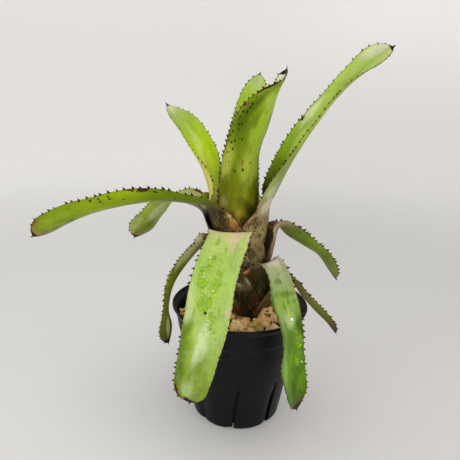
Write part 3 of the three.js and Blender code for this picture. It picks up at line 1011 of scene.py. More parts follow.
    def _add_blade(self, shell: Shell, rows: Rows) -> None:
        """The sheath and blade: a flat closed section carried along the leaf, with both ends closed.

        A section runs over the upper face from left to right and back over the under face, with one
        more point at each margin, a little farther out. The last point of all is the tip's own.

        Args:
            shell: Where it is added.
            rows: The leaf's sections.
        """
        n = len(rows.reach)
        s_top = np.linspace(-1.0, 1.0, self.columns)
        s_ring = np.concatenate([s_top, [1.0], s_top[::-1], [-1.0]])
        face_ring = np.concatenate([np.ones(self.columns), [0.5], np.zeros(self.columns), [0.5]])
        around = len(s_ring)
        index = np.append(np.repeat(np.arange(n), around), [0, n - 1])
        s = np.append(np.tile(s_ring, n), [0.0, 0.0])
        face = np.append(np.tile(face_ring, n), [0.5, 0.5])
        thick = rows.thick[index]
        thick = thick + (np.minimum(thick, self.edge_thick) - thick) * s**2
        points = self.place(rows, index, s, (face - 0.5) * thick)
        swell = np.where(face == 0.5, self.edge_swell * thick, 0.0) * s
        points += rows.outward(index, s) * swell[:, None]
        points[-1] += rows.along[-1] * self.tip_spine
        body = ring_faces(n, around)[:, ::-1]
        foot = fan_faces(np.arange(around), n * around)
        tip = fan_faces(np.arange(around) + (n - 1) * around, n * around + 1, flip=True)
        soft, hard = self.horn_from
        horn = ease(soft * self.tip_dead, hard * self.tip_dead, rows.to_tip[index])
        shell.add(points, body, foot, tip, **self._values(rows, index, s, face, horn=horn))

    def _add_spines(self, shell: Shell, rows: Rows, side: Side) -> None:
        """Hooked flat spines down one margin, each a closed cone with its root in the blade.

        At height t a spine's middle is out by t and towards the tip by t squared, and its section
        of six sides shrinks with 1 - t.

        Args:
            shell: Where it is added.
            rows: The leaf's sections.
            side: The margin.
        """
        random = np.random.default_rng(self.seed * 2 + (side is Side.RIGHT))
        around = self.spine_sides
        turn = np.arange(around) * 2.0 * math.pi / around
        at = np.arange(-self.spine_ends, rows.reach[-1] - self.spine_ends, self.spine_gap)
        count = len(at)
        at = at + random.uniform(-self.spine_stray, self.spine_stray, count) * self.spine_gap
        index = np.clip(np.searchsorted(rows.reach, at), 1, len(rows.reach) - 2)
        s = np.full(count, side.value)
        base = self.place(rows, index, s, np.zeros(count))
        outward = rows.outward(index, s) * side.value
        normal, along = rows.normal(index, s), rows.along[index]
        size = self.spine_length * random.uniform(*self.spine_sizes, count)
        size = size * (self.spine_most - self.spine_loss * ease(self.spine_from, rows.reach[-1], at))

        t = np.array(self.spine_levels)[None, :, None, None]
        tall = size[:, None, None, None]
        out, ahead, deep_way = (way[:, None, None] for way in (outward, along, normal))
        middle = base[:, None, None] + out * t * tall + ahead * self.spine_hook * tall * t * np.abs(t)
        flat = self.spine_flat * tall * (1.0 - t) ** self.spine_waist * np.cos(turn)[None, None, :, None]
        deep = (self.spine_thin + self.spine_thick * (1.0 - t)) * np.sin(turn)[None, None, :, None]
        rings = middle + ahead * flat + deep_way * deep
        peak = base + outward * size[:, None] + along * (self.spine_peak * size)[:, None]
        root = base - outward * (self.spine_root * size)[:, None]
        levels = len(self.spine_levels)
        ring_count = levels * around
        per = ring_count + 2
        cones = [rings.reshape(count, ring_count, 3), peak[:, None], root[:, None]]
        points = np.concatenate(cones, axis=1)

        starts = np.arange(count)[:, None, None] * per
        quads = ring_faces(levels, around)[None] + starts
        caps = fan_faces(np.arange(around) + ring_count - around, ring_count)[None] + starts
        roots = fan_faces(np.arange(around), ring_count + 1, flip=True)[None] + starts
        sets = [faces.reshape(-1, faces.shape[-1]) for faces in (quads, caps, roots)]
        if side is Side.RIGHT:
            sets = [faces[:, ::-1] for faces in sets]
        horn = np.append(np.repeat(self.spine_horn, around), [1.0, 0.0])
        at_edge = np.repeat(index, per), np.repeat(s, per), np.full(count * per, 0.5)
        values = self._values(rows, *at_edge, horn=np.tile(horn, count))
        shell.add(points.reshape(-1, 3), *sets, **values)

    def _add_beads(self, shell: Shell, rows: Rows) -> None:
        """Drops of water on the wet areas of the upper face, by a seeded draw round each middle."""
        random = np.random.default_rng(self.seed + 40)
        for area in self.wet:
            count = int(self.bead_share * area.length)
            reach = area.reach + 0.5 * area.length * random.normal(size=count)
            s = area.across + 0.5 * area.width * random.normal(size=count)
            s = np.clip(s, -self.bead_limit, self.bead_limit)
            index = np.clip(np.searchsorted(rows.reach, reach), 1, len(rows.reach) - 2)
            size = random.uniform(*self.bead_sizes, count) ** 1.5 * self.bead_scale
            lift = np.full(count, 0.5 * self.blade_thick - self.bead_sink)
            centre = self.place(rows, index, s, lift)
            wet, edge = np.full(count, self.bead_wet), np.full(count, self.bead_edge)
            values = self._values(rows, index, s, np.ones(count), wet=wet, edge=edge)
            add_domes(shell, centre, rows.normal(index, s), size, self.bead_height, **values)


SHEATH_UPPER: Stops = ((-90, "#1d130b"), (-40, "#3a2c18"), (-8, "#6d6a30"))

LEAVES = (
    Leaf(
        name="leaf_left_long", azimuth=-80, nest=4, foot=104, mouth=192, neck=62, tip=17, seed=1,
        stations=(
            (40, 2, 194, 15, 43, 13), (67, 0, 196, 16, 61, 17), (94, 2, 194, 16, 68, 26),
            (121, 3, 188, 16, 62, 27), (144, 5, 180, 17, 52, 33), (170, 4, 168, 15, 30, 40),
        ),
        spine_gap=5.6, tip_dead=3.0, shoulder=5.0,
        dead_and_shade=(Area(52, 0.97, 4.5, 0.16), Area(61, 0.99, 3, 0.09), Area(136, 0.97, 6, 0.14, 0.56),
              Area(146, 0.5, 4, 0.5, 0.6)),
        specked=(Area(75, 0.8, 30, 0.24, 0.7), Area(28, 0.6, 4, 0.15, 0.6)),
        tints=(
            ("#a2ba4c", Area(76, -0.35, 44, 0.5, 0.9)), ("#90a628", Area(46, -0.3, 34, 0.45, 0.7)),
            ("#8ea62c", Area(122, 0.35, 20, 0.4, 0.8)), ("#5a7406", Area(112, -0.1, 5, 0.2, 0.7)),
            ("#5a7406", Area(126, -0.25, 6, 0.25, 0.6)), ("#946638", Area(-13, 0.9, 8, 0.15, 0.9)),
            ("#8c7a3c", Area(-6, 0.86, 3, 0.08, 0.9)), ("#c09058", Area(-8, 1.0, 4, 0.07, 0.9)),
            ("#2c180e", Area(-1, 0.84, 2.2, 0.07, 0.95)), ("#d0a880", Area(-3, 0.97, 2.4, 0.05, 0.9)),
            ("#24160e", Area(-6, 0.84, 1.2, 0.03, 0.8)),
        ),
        finish=LeafFinish(
            upper=(*SHEATH_UPPER, (10, "#7f9c34"), (80, "#88b03a"), (175, "#90b440")),
            under=((-90, "#1c120a"), (-30, "#2f2317"), (-12, "#584424"), (-4, "#281a0e"),
                   (3, "#4c4020"), (9, "#627010"), (20, "#667e08"), (45, "#738a06"), (62, "#889f12"),
                   (80, "#8ba312"), (94, "#92a81a"), (106, "#7d9a10"), (128, "#829a14"),
                   (135, "#7c7020"), (145, "#a88a60")),
            mottle=0.36, bloom=0.02, rim="#4c3a18",
        ),
    ),
    Leaf(
        name="leaf_left_arched", azimuth=-120, nest=5.05, foot=101, mouth=181, neck=48, tip=15, seed=2,
        loose=2.6,
        stations=(
            (42, 4, 185, 17, 57, 6), (60, 2, 188, 17, 56, -8), (77, 3, 185, 16, 55, 4),
            (92, 6, 170, 15, 42, 15), (105, 10, 156, 15, 27, 22), (113, 12, 147, 14, 18, 18),
        ),
        spine_gap=4.4, spine_length=2.2, tip_dead=3.0, specks=0.1,
        dead_and_shade=(Area(12, -0.9, 7, 0.2, 0.9), Area(24, -0.97, 6, 0.12, 0.8), Area(102, 0.2, 5, 0.9, 0.6)),
        tints=(
            # painted highlight: the pale #ccd4a4 patch is a sheen at the top of the arch
            ("#ccd4a4", Area(62, 0.2, 13, 0.3, 0.8)), ("#5e7420", Area(82, -0.2, 9, 0.35, 0.6)),
            ("#b6c27c", Area(88, 0.7, 12, 0.3, 0.7)),
            ("#c2b49a", Area(14, -0.8, 12, 0.3, 0.6, Face.UPPER)),
        ),
        finish=LeafFinish(
            # painted shade: the near-black upper stops below the mouth are the deep shade on the loose
            # sheath's inner face
            upper=((-90, "#0c0504"), (-12, "#140806"), (2, "#2c1a14"), (9, "#a8a470"),
                   (40, "#a9b46c"), (130, "#8fa458")),
            under=((-90, "#0e0605"), (-30, "#140908"), (-6, "#1c0e0c"), (3, "#584036"),
                   (14, "#8c8468"), (35, "#9caa58"), (60, "#a0b44c"), (82, "#88a02c"),
                   (96, "#86803c"), (101, "#6a3a24"), (106, "#4c2418")),
            mottle=0.35, bloom=0.05, bark=0.2,
        ),
    ),
    Leaf(
        name="leaf_upper_left", azimuth=-130, nest=2, foot=104, mouth=192, neck=50, tip=32, seed=3,
        stations=(
            (33, 10, 210, 17, 66, 24), (42, 10, 230, 17, 58, 2), (55, 12, 249, 16, 42, -3),
            (66, 17, 263, 15, 32, -1), (74, 20, 272, 12, 20, -1),
        ),
        spine_gap=4.4, spine_length=1.8, tip_dead=1.5,
        tints=(
            ("#a8cc10", Area(42, -0.55, 26, 0.4, 0.7, Face.UPPER)),
            # painted highlight: a narrow pale streak down the middle of the upper face
            ("#ccda90", Area(48, 0.0, 24, 0.1, 0.8, Face.UPPER)),
            ("#869e2e", Area(66, -0.2, 14, 0.35, 0.6, Face.UPPER)),
            ("#c4c8a0", Area(96, 0.1, 9, 0.8, 0.8, Face.UPPER)),
            # painted light: the two lighter yellow strips below lift the part of the trough that falls
            # into shade
            ("#dce450", Area(30, -0.4, 12, 0.4, 0.6, Face.UPPER)),
            ("#d4e478", Area(58, -0.2, 16, 0.2, 0.5, Face.UPPER)),
        ),
        finish=LeafFinish(
            upper=(*SHEATH_UPPER, (2, "#e0d468"), (15, "#d4dc48"), (30, "#cce034"), (48, "#b8d01c"),
                   (66, "#9cbc2c"), (84, "#98ae58"), (98, "#b4b488")),
            under=((-90, "#2a1c10"), (-20, "#8a7850"), (5, "#dccc84"), (30, "#e4dc6c"),
                   (60, "#ccd054"), (110, "#b0ba6c")),
            mottle=0.15, cloud=0.3, bloom=0.03, rim="#8a5c34", rim_share=0.5, rough=0.38,
        ),
    ),
    Leaf(
        name="leaf_centre_upright", azimuth=-5, nest=1, foot=108, mouth=181, neck=52, tip=16, seed=4,
        stations=(
            (20, -3, 202, 17.5, 52, 8), (18, -0.4, 227, 18.5, 54, 18), (16, 4, 243, 19, 60, 35),
            (13, 11, 262, 19, 60, 42), (10, 18, 275, 14.4, 58, 52), (7, 23.2, 284, 11, 42, 83),
            (5, 26.4, 291, 9.6, 36, 107), (4, 28.4, 298, 9.6, 36, 122), (3, 29.2, 301.5, 7, 36, 134),
        ),
        spine_gap=3.7, spine_length=2.8, tip_dead=4.6,
        dead_and_shade=(Area(106, -0.98, 9, 0.14, 0.9), Area(89, -0.99, 2.5, 0.16, 0.8),
              Area(49, -0.05, 3, 0.06, 0.9), Area(44, 0.02, 2, 0.06, 0.8),
              Area(20, -0.98, 8, 0.07, 0.7)),
        specked=(Area(72, -0.7, 34, 0.3, 0.95), Area(56, 0.25, 9, 0.3, 0.3),
                 Area(50, -0.25, 9, 0.3, 0.45)),
        tints=(
            ("#a2bc3a", Area(76, 0.28, 34, 0.42, 0.95)), ("#aac04c", Area(104, 0.05, 14, 0.5, 0.9)),
            ("#465a00", Area(84, -0.62, 22, 0.2, 0.9)), ("#526600", Area(70, -0.46, 8, 0.12, 0.7)),
            ("#a2aa44", Area(46, -0.75, 13, 0.3, 0.9)), ("#9cac3c", Area(48, 0.35, 14, 0.5, 0.8)),
            ("#606800", Area(31, -0.6, 8, 0.24, 0.8)), ("#8e9430", Area(28, 0.28, 9, 0.14, 0.5)),
            ("#5c6800", Area(27, 0.68, 9, 0.16, 0.85)), ("#4e5000", Area(17, 0.15, 5, 0.28, 0.85)),
            ("#a89850", Area(17, -0.62, 6, 0.2, 0.85)), ("#7c6830", Area(7, -0.5, 7, 0.3, 0.7)),
            ("#6a6a14", Area(12, -0.15, 7, 0.35, 0.7)), ("#8a7a30", Area(9, 0.06, 3, 0.12, 0.6)),
            ("#6c4418", Area(8, -0.2, 3, 0.09, 0.8)), ("#1c1a00", Area(4, 0.7, 14, 0.42, 0.97)),
            ("#2a2200", Area(2, 0.3, 4, 0.2, 0.95)), ("#2c3a00", Area(16, 0.95, 12, 0.16, 0.8)),
            ("#eceadc", Area(116, 0.2, 12, 1.2, 0.95, Face.UPPER)),
        ),
        finish=LeafFinish(
            upper=(*SHEATH_UPPER, (4, "#7f9c28"), (60, "#a9c06a"), (120, "#d6dcae")),
            under=((-90, "#241a10"), (-30, "#4c4220"), (-8, "#7a5a30"), (4, "#745c24"),
                   (14, "#646408"), (25, "#646c04"), (50, "#667804"), (75, "#607600"),
                   (95, "#6e8910"), (112, "#88a034"), (122, "#9cac60")),
            mottle=0.4, cloud=0.5, veins=0.4, bloom=0.02, rim="#5c4014", rim_share=0.85, rough=0.4,
        ),
    ),
    Leaf(
        name="leaf_front_hanging", azimuth=-15, nest=6.15, foot=101, mouth=170, neck=48, tip=17, seed=5,
        shoulder=3.0,
        stations=(
            (34, -1, 176, 18, 6, 6), (44, -2.2, 165, 18, 10, 5), (58, -6, 142, 18, 12, 0),
            (70, -7, 114, 18, 11, 0), (78, -11, 85, 16, 14, 4), (81, -15, 62, 14, 14, 2),
            (80, -16, 51, 13, 16, -2),
        ),
        spine_gap=5.2, tip_dead=2.2, wave=0.5, specks=0.03,
        dead_and_shade=(Area(140, -0.96, 9, 0.16, 0.9), Area(147, -0.45, 4, 0.45, 0.85),
              Area(75, -0.12, 1.7, 0.06, 0.85)),
        wet=(Area(62, -0.1, 36, 0.62, 0.36), Area(33, -0.33, 2.4, 0.13, 0.75),
             Area(41, -0.42, 3.2, 0.16, 0.9), Area(44, -0.64, 2.4, 0.12, 0.8),
             Area(43, 0.16, 2.8, 0.14, 0.8), Area(54, -0.5, 4.4, 0.2), Area(52, 0.16, 4.4, 0.16),
             Area(58, 0.1, 2.4, 0.12, 0.8), Area(64, -0.28, 2.8, 0.14, 0.9),
             Area(66, -0.02, 3.4, 0.16), Area(69, -0.42, 3.2, 0.16), Area(72, -0.16, 2.4, 0.12),
             Area(75, 0.16, 2, 0.1, 0.8), Area(78, 0.3, 2.6, 0.12), Area(84, 0.24, 2.8, 0.1, 0.9),
             Area(86, 0.4, 1.8, 0.08, 0.8), Area(91, 0.55, 1.6, 0.07, 0.7),
             Area(24, 0.1, 2.4, 0.12, 0.6), Area(20, -0.4, 3, 0.14, 0.6)),
        tints=(
            ("#6c8c00", Area(112, -0.85, 32, 0.42, 0.95)),
            # painted highlight: a soft pale streak down the middle of the hanging blade
            ("#d0dcb4", Area(102, 0.0, 22, 0.26, 0.75)),
            ("#587800", Area(112, -0.96, 34, 0.36, 0.95, Face.UPPER)),
            ("#7d9c18", Area(122, 0.1, 14, 0.3, 0.8)), ("#a8bc7c", Area(138, -0.2, 8, 0.35, 0.8)),
            ("#cdb492", Area(13, 0.3, 11, 0.3, 0.75)), ("#a4c464", Area(56, 0.7, 34, 0.3, 0.8)),
            ("#c5cf9e", Area(72, -0.85, 16, 0.18, 0.6)), ("#6c8a10", Area(134, 0.8, 14, 0.4, 0.9)),
            ("#d8b0a4", Area(72, 0.85, 3, 0.12, 0.7)),
            ("#1e1808", Area(-12, 0.46, 5, 0.12, 0.8, Face.UNDER)),
            ("#b09878", Area(0, 0.72, 5, 0.1, 0.7, Face.UNDER)),
        ),
        finish=LeafFinish(
            upper=((-80, "#1d130b"), (-30, "#5a4a30"), (0, "#c4a884"), (7, "#c8b68c"),
                   (18, "#aec070"), (35, "#9ebe54"), (60, "#a4c25a"), (90, "#a9c46a"),
                   (112, "#88a83c"), (150, "#728428")),
            under=((-80, "#20130c"), (-30, "#7c7048"), (-17, "#a49468"), (-9, "#9a8058"),
                   (6, "#a88660"), (30, "#a0a868"), (160, "#8fa45c")),
            mottle=0.3, cloud=0.4, bloom=0.16, rim="#9a8a4c",
        ),
    ),
    Leaf(
        name="leaf_right_long", azimuth=75, nest=3, foot=104, mouth=192, neck=42, tip=22, seed=6,
        stations=(
            (28, -2, 208, 18, 76, 17), (40, 0, 237, 17, 62, 27), (55, 0, 263, 15, 50, 28),
            (70, 1, 284, 14, 50, 24), (84, 1, 300, 13, 40, 34), (95, 0, 310, 14, 28, 43),
            (105, -1, 317, 12, 23, 49),
        ),
        spine_gap=4.6, spine_length=1.9, tip_dead=1.5, tip_spine=2.6, shoulder=4.0,
        dead_and_shade=(Area(34, 0.35, 2.5, 0.12, 0.9, Face.UPPER), Area(74, 0.93, 3.5, 0.1, 0.75),
              Area(160, 0.4, 4, 0.6, 0.5)),
        specked=(Area(70, -0.85, 40, 0.2, 0.35), Area(-14, 0.0, 12, 0.9, 0.5)),
        tints=(
            # painted highlight: a pale patch on the upper face near its right margin
            ("#d4dea8", Area(82, 0.75, 14, 0.24, 0.9, Face.UPPER)),
            ("#c4d480", Area(58, 0.3, 14, 0.2, 0.6, Face.UPPER)),
            ("#7c9c10", Area(46, -0.1, 16, 0.5, 0.6, Face.UPPER)),
            ("#cccdb0", Area(146, 0.6, 14, 0.4, 0.8, Face.UPPER)),
            ("#8cb03c", Area(132, -0.1, 14, 0.22, 0.8, Face.UPPER)),
            ("#84a832", Area(96, -0.25, 26, 0.3, 0.7, Face.UPPER)),
            ("#cfc6b2", Area(158, 0.0, 6, 1.2, 0.8)),
            ("#ccd0aa", Area(17, -0.62, 8, 0.2, 0.85, Face.UNDER)),
            ("#94705c", Area(-10, -0.92, 14, 0.13, 0.85)),
            ("#583a1c", Area(-7.5, -0.78, 4, 0.1, 0.9)),
            ("#b09c70", Area(-14.5, -0.76, 3, 0.1, 0.85)), ("#5c4424", Area(-11, -0.58, 3, 0.1, 0.7)),
            ("#705828", Area(-1, -0.97, 3, 0.1, 0.8)), ("#dcd0b8", Area(4, -0.45, 6, 0.4, 0.8)),
            ("#8a7058", Area(-8, -0.28, 4, 0.18, 0.7)), ("#a8a064", Area(-18, -0.35, 6, 0.24, 0.85)),
            ("#c8bc94", Area(-32, -0.3, 12, 0.3, 0.5)),
        ),
        finish=LeafFinish(
            upper=(*SHEATH_UPPER, (4, "#263400"), (20, "#4c6000"), (36, "#708800"), (52, "#90b014"),
                   (75, "#a4c050"), (110, "#a8c254"), (140, "#a6b868"), (160, "#b2ac88")),
            under=((-90, "#1c110b"), (-50, "#4a3a28"), (-24, "#8c8458"), (-10, "#86744e"),
                   (-2, "#9e8c72"), (8, "#98986c"), (25, "#90a05c"), (50, "#86963c"), (80, "#aac050"),
                   (155, "#a0b458")),
            mottle=0.25, cloud=0.4, bloom=0.06, rim="#5a4c1c", rim_share=0.65,
        ),
    ),
    Leaf(
        name="leaf_back_upright", azimuth=172, nest=0, foot=108, mouth=192, neck=48, tip=26, seed=7,
        stations=(
            (25, 7, 227, 15, 37, -1), (30, 5, 252, 14, 35, 0), (36, 1, 273, 13, 32, -2),
            (40, -2, 289, 12, 26, -1), (42, -4, 300, 11, 22, 0),
        ),
        spine_gap=4.4, spine_length=1.8, tip_dead=0.8, tip_spine=2.6,
        tints=(("#b4c48a", Area(110, 0.0, 12, 1.0, 0.7)),),
        finish=LeafFinish(
            upper=(*SHEATH_UPPER, (4, "#7a8c20"), (60, "#98ac24"), (78, "#a4bc28"), (96, "#a0c03c"),
                   (115, "#b4c874")),
            under=((-90, "#241a10"), (-20, "#85894a"), (30, "#8fa444"), (115, "#9cb65c")),
            mottle=0.15, cloud=0.3, bloom=0.08, rough=0.4,
        ),
    ),
    Leaf(
        name="leaf_right_short", azimuth=100, nest=7.3, foot=98, mouth=170, neck=38, tip=16, seed=8,
        loose=3, shoulder=0.8,
        stations=(
            (33, 0, 173, 14, 50, -14), (43, 1, 165, 14, 53, -27), (57, 1, 156, 13, 48, -21),
            (73, 0, 145, 12, 42, -16), (87, -2, 125, 10, 27, -15),
        ),
        spine_gap=4.0, tip_dead=1.0,
        # painted shade: this area darkens the upper, inner face of the loose sheath, which is in shade
        dead_and_shade=(Area(-16, 0.1, 17, 1.5, 1.0, Face.UPPER),),
        tints=(
            ("#a4ac7c", Area(52, 0.5, 34, 0.4, 0.7)), ("#84481c", Area(-28, -0.75, 24, 0.3, 0.9)),
            # painted shadow: the near-black #2a0c04 band along the sheath's front margin
            ("#b89c84", Area(2, -0.9, 9, 0.4, 0.7)), ("#2a0c04", Area(-30, -1.0, 26, 0.18, 0.9)),
            ("#a07848", Area(-12, -0.8, 4, 0.1, 0.7)), ("#401c0c", Area(-18, -0.84, 4, 0.08, 0.7)),
        ),
        finish=LeafFinish(
            # painted shade: the near-black upper stops below the mouth are the shade on the sheath's
            # inner face
            upper=((-80, "#0c0402"), (-30, "#100604"), (-4, "#180a06"), (5, "#5c4438"),
                   (12, "#8c8868"), (22, "#88964f"), (90, "#6a863a")),
            under=((-80, "#1c100a"), (-40, "#5c3018"), (-12, "#80543c"), (0, "#7c6c50"),
                   (10, "#70803c"), (30, "#6c8424"), (44, "#809830"), (56, "#6c8024"),
                   (68, "#88944c"), (85, "#6c7c30")),
            mottle=0.4, bloom=0.08, bark=0.8,
        ),
    ),
    Leaf(
        name="leaf_right_hanging", azimuth=40, nest=9.6, foot=98, mouth=142, neck=38, tip=20, seed=9,
        shoulder=4.0,
        stations=(
            (36, -1.6, 151, 12.4, 22, 0), (48, -3, 144, 13, 25, -8), (60, -6, 126, 13.6, 23, 0),
            (71, -8.4, 105, 13.2, 26, -8), (74, -7.4, 79, 13.2, 23, -2), (75, -2.6, 56, 12, 25, -4),
            (75, 1.8, 37, 9, 19, 0),
        ),
        spine_gap=5.2, tip_dead=6.0, wave=0.6, specks=0.04,
        dead_and_shade=(Area(147, 0.0, 6.5, 1.5, 0.95),),
        wet=(Area(62, 0.3, 4, 0.3, 0.5), Area(80, 0.62, 9, 0.26, 0.56), Area(44, -0.3, 5, 0.2, 0.45),
             Area(96, 0.5, 8, 0.3, 0.42)),
        tints=(
            ("#5c7c24", Area(34, -0.1, 2.5, 0.4, 0.7)), ("#547414", Area(44, 0.1, 2.6, 0.7, 0.8)),
            ("#385a00", Area(72, 0.82, 14, 0.34, 0.9)), ("#487808", Area(98, 0.6, 16, 0.36, 0.8)),
            # painted highlight: the pale #b4c298 patch is a sheen across the blade
            ("#b4c298", Area(64, 0.1, 6, 0.34, 0.8)), ("#4e760e", Area(80, -0.05, 9, 0.4, 0.8)),
            ("#86a860", Area(100, -0.65, 16, 0.22, 0.6)), ("#6c9410", Area(120, 0.5, 8, 0.3, 0.5)),
            ("#3a5a00", Area(124, -0.1, 12, 0.16, 0.8)), ("#d8ccc4", Area(13, 0.2, 8, 0.8, 0.8)),
            ("#305006", Area(56, -0.9, 22, 0.14, 0.6)), ("#b0a090", Area(58, 0.1, 2.5, 0.16, 0.5)),
            ("#27240f", Area(-22, 0.1, 16, 0.4, 0.6)),
            ("#e8986a", Area(-4, -0.9, 7, 0.16, 0.95, Face.UNDER)),
        ),
        finish=LeafFinish(
            upper=((-80, "#160d07"), (-20, "#241708"), (4, "#9c8a7c"), (14, "#a89e8c"),
                   (23, "#a0a67c"), (32, "#98a878"), (40, "#8aa05e"), (52, "#80a04c"),
                   (64, "#84a058"), (76, "#648c24"), (100, "#5c8406"), (116, "#568204"),
                   (130, "#466e00"), (135, "#4c5a0c"), (141, "#4a1c10"), (148, "#2c0e08")),
            under=((-60, "#100804"), (-36, "#160e07"), (-22, "#1b1406"), (-10, "#261e0a"),
                   (0, "#4e3c20"), (8, "#8a7a5c"), (20, "#8a9068"), (130, "#6a8038")),
            mottle=0.55, cloud=0.4, bloom=0.02, bark=0.4, rough=0.36,
        ),
    ),
    Leaf(
        name="leaf_right_low", azimuth=90, nest=10.95, foot=95, mouth=118, neck=44, tip=16, seed=10,
        hug=84,
        stations=(
            (43, -5, 128, 12, 45, -10), (54, -4, 115, 9, 50, -16), (67, -4, 101, 9, 52, -24),
            (79, -3, 89, 10, 42, -18), (87, -2, 79, 9, 34, -19),
        ),
        spine_gap=4.6, tip_dead=4.0,
        tints=(
            ("#8c7c50", Area(34, -0.5, 16, 0.5, 0.7)), ("#a4a074", Area(58, 0.1, 12, 0.16, 0.8)),
            ("#5c2c18", Area(42, 0.9, 5, 0.2, 0.8)),
        ),
        finish=LeafFinish(
            upper=((-60, "#160d07"), (0, "#3a2a14"), (20, "#6a6c34"), (60, "#7c7a4c"), (80, "#6a5030")),
            under=((-60, "#2a1608"), (-20, "#2c1c0e"), (-6, "#5c442c"), (8, "#84703c"),
                   (25, "#848a3c"), (60, "#6c7a20"), (76, "#6a4c28"), (82, "#4c1c10")),
            mottle=0.4, bloom=0.05, bark=0.3,
        ),
    ),
    Leaf(
        name="leaf_left_drooping", azimuth=-70, nest=10.3, foot=98, mouth=156, neck=40, tip=17, seed=11,
        stations=(
            (35, 5, 162, 14, 50, 16), (51, 8, 147, 14, 57, 24), (63, 13, 132, 12, 56, 16),
            (68, 17, 114, 9, 50, 14), (67, 19, 97, 12, 42, 34), (68, 18, 83, 12, 25, 34),
        ),
        spine_gap=4.0, spine_length=1.9, tip_dead=4.5,
        tints=(
            ("#6c6450", Area(-29, 0.6, 5, 0.3, 0.8)), ("#6a5e38", Area(-45, 0.42, 4, 0.1, 0.8)),
            ("#b8a090", Area(-23, 0.97, 4, 0.07, 0.9)), ("#d4b0a4", Area(-27, 0.66, 1.8, 0.08, 0.9)),
            ("#b8b88c", Area(88, 0.3, 10, 0.2, 0.9)), ("#4c2018", Area(-44, 0.96, 10, 0.08, 0.9)),
            ("#74401c", Area(-50, 0.3, 7, 0.2, 0.8)), ("#7a4c3c", Area(6, 0.5, 6, 0.6, 0.7)),
            ("#a8a878", Area(24, 0.85, 16, 0.3, 0.8)),
        ),
        finish=LeafFinish(
            upper=((-80, "#160d07"), (0, "#d0c0ac"), (20, "#bcbc94"), (40, "#a4ac74"),
                   (70, "#8a9450"), (100, "#a4a478")),
            under=((-80, "#1c0f07"), (-52, "#160d05"), (-38, "#261d13"), (-24, "#483c2c"),
                   (0, "#6c503c"), (12, "#867e4c"), (30, "#7e8a44"), (44, "#5e6c08"), (60, "#62700f"),
                   (80, "#626e20"), (95, "#4c5410"), (103, "#502818")),
            mottle=0.35, bloom=0.04, bark=0.35,
        ),
    ),
)


@dataclass(frozen=True)
class PotPlastic:
    """Black moulded plastic, satin, with faint scuffs, dust and beads of water."""

    colour: str = "#07080e"
    dust: str = "#4c4b4a"
    wet: str = "#040406"

    def material(self, name: str) -> bpy.types.Material:
        """The finish as a material.

        Args:
            name: The finish's name.

        Returns:
            The material.
        """
        bench = NodeBench(name)
        cloud = bench.noise(bench.place(0.05, 0.05, 0.05), 4.0)
        streaks = bench.noise(bench.place(0.5, 0.5, 0.03), 4.0, 0.6)
        grain = bench.noise(bench.place(2.2, 2.2, 2.2), 2.0)
        wet = bench.value_of("wet")
        dusty = Coat(0.42, 0.72, 0.07, self.dust)
        skin = bench.coat(rgba(self.colour), cloud, dusty, bench.level(grain, 0.4, 0.62))
        skin = bench.coat(skin, streaks, Coat(0.58, 0.8, 0.05, self.dust))
        skin = bench.paint(wet, skin, self.wet)
        rough = bench.level(streaks, 0.3, 0.8, 0.4, 0.56)
        rough = bench.times(rough, bench.level(wet, 0.2, 0.7, 1.0, 0.12))
        normal = bench.bump(cloud, 0.6, 0.3, bench.bump(grain, 0.05, 0.5))
        return bench.finish(Base_Color=skin, Roughness=rough, Normal=normal, Specular_IOR_Level=0.16)


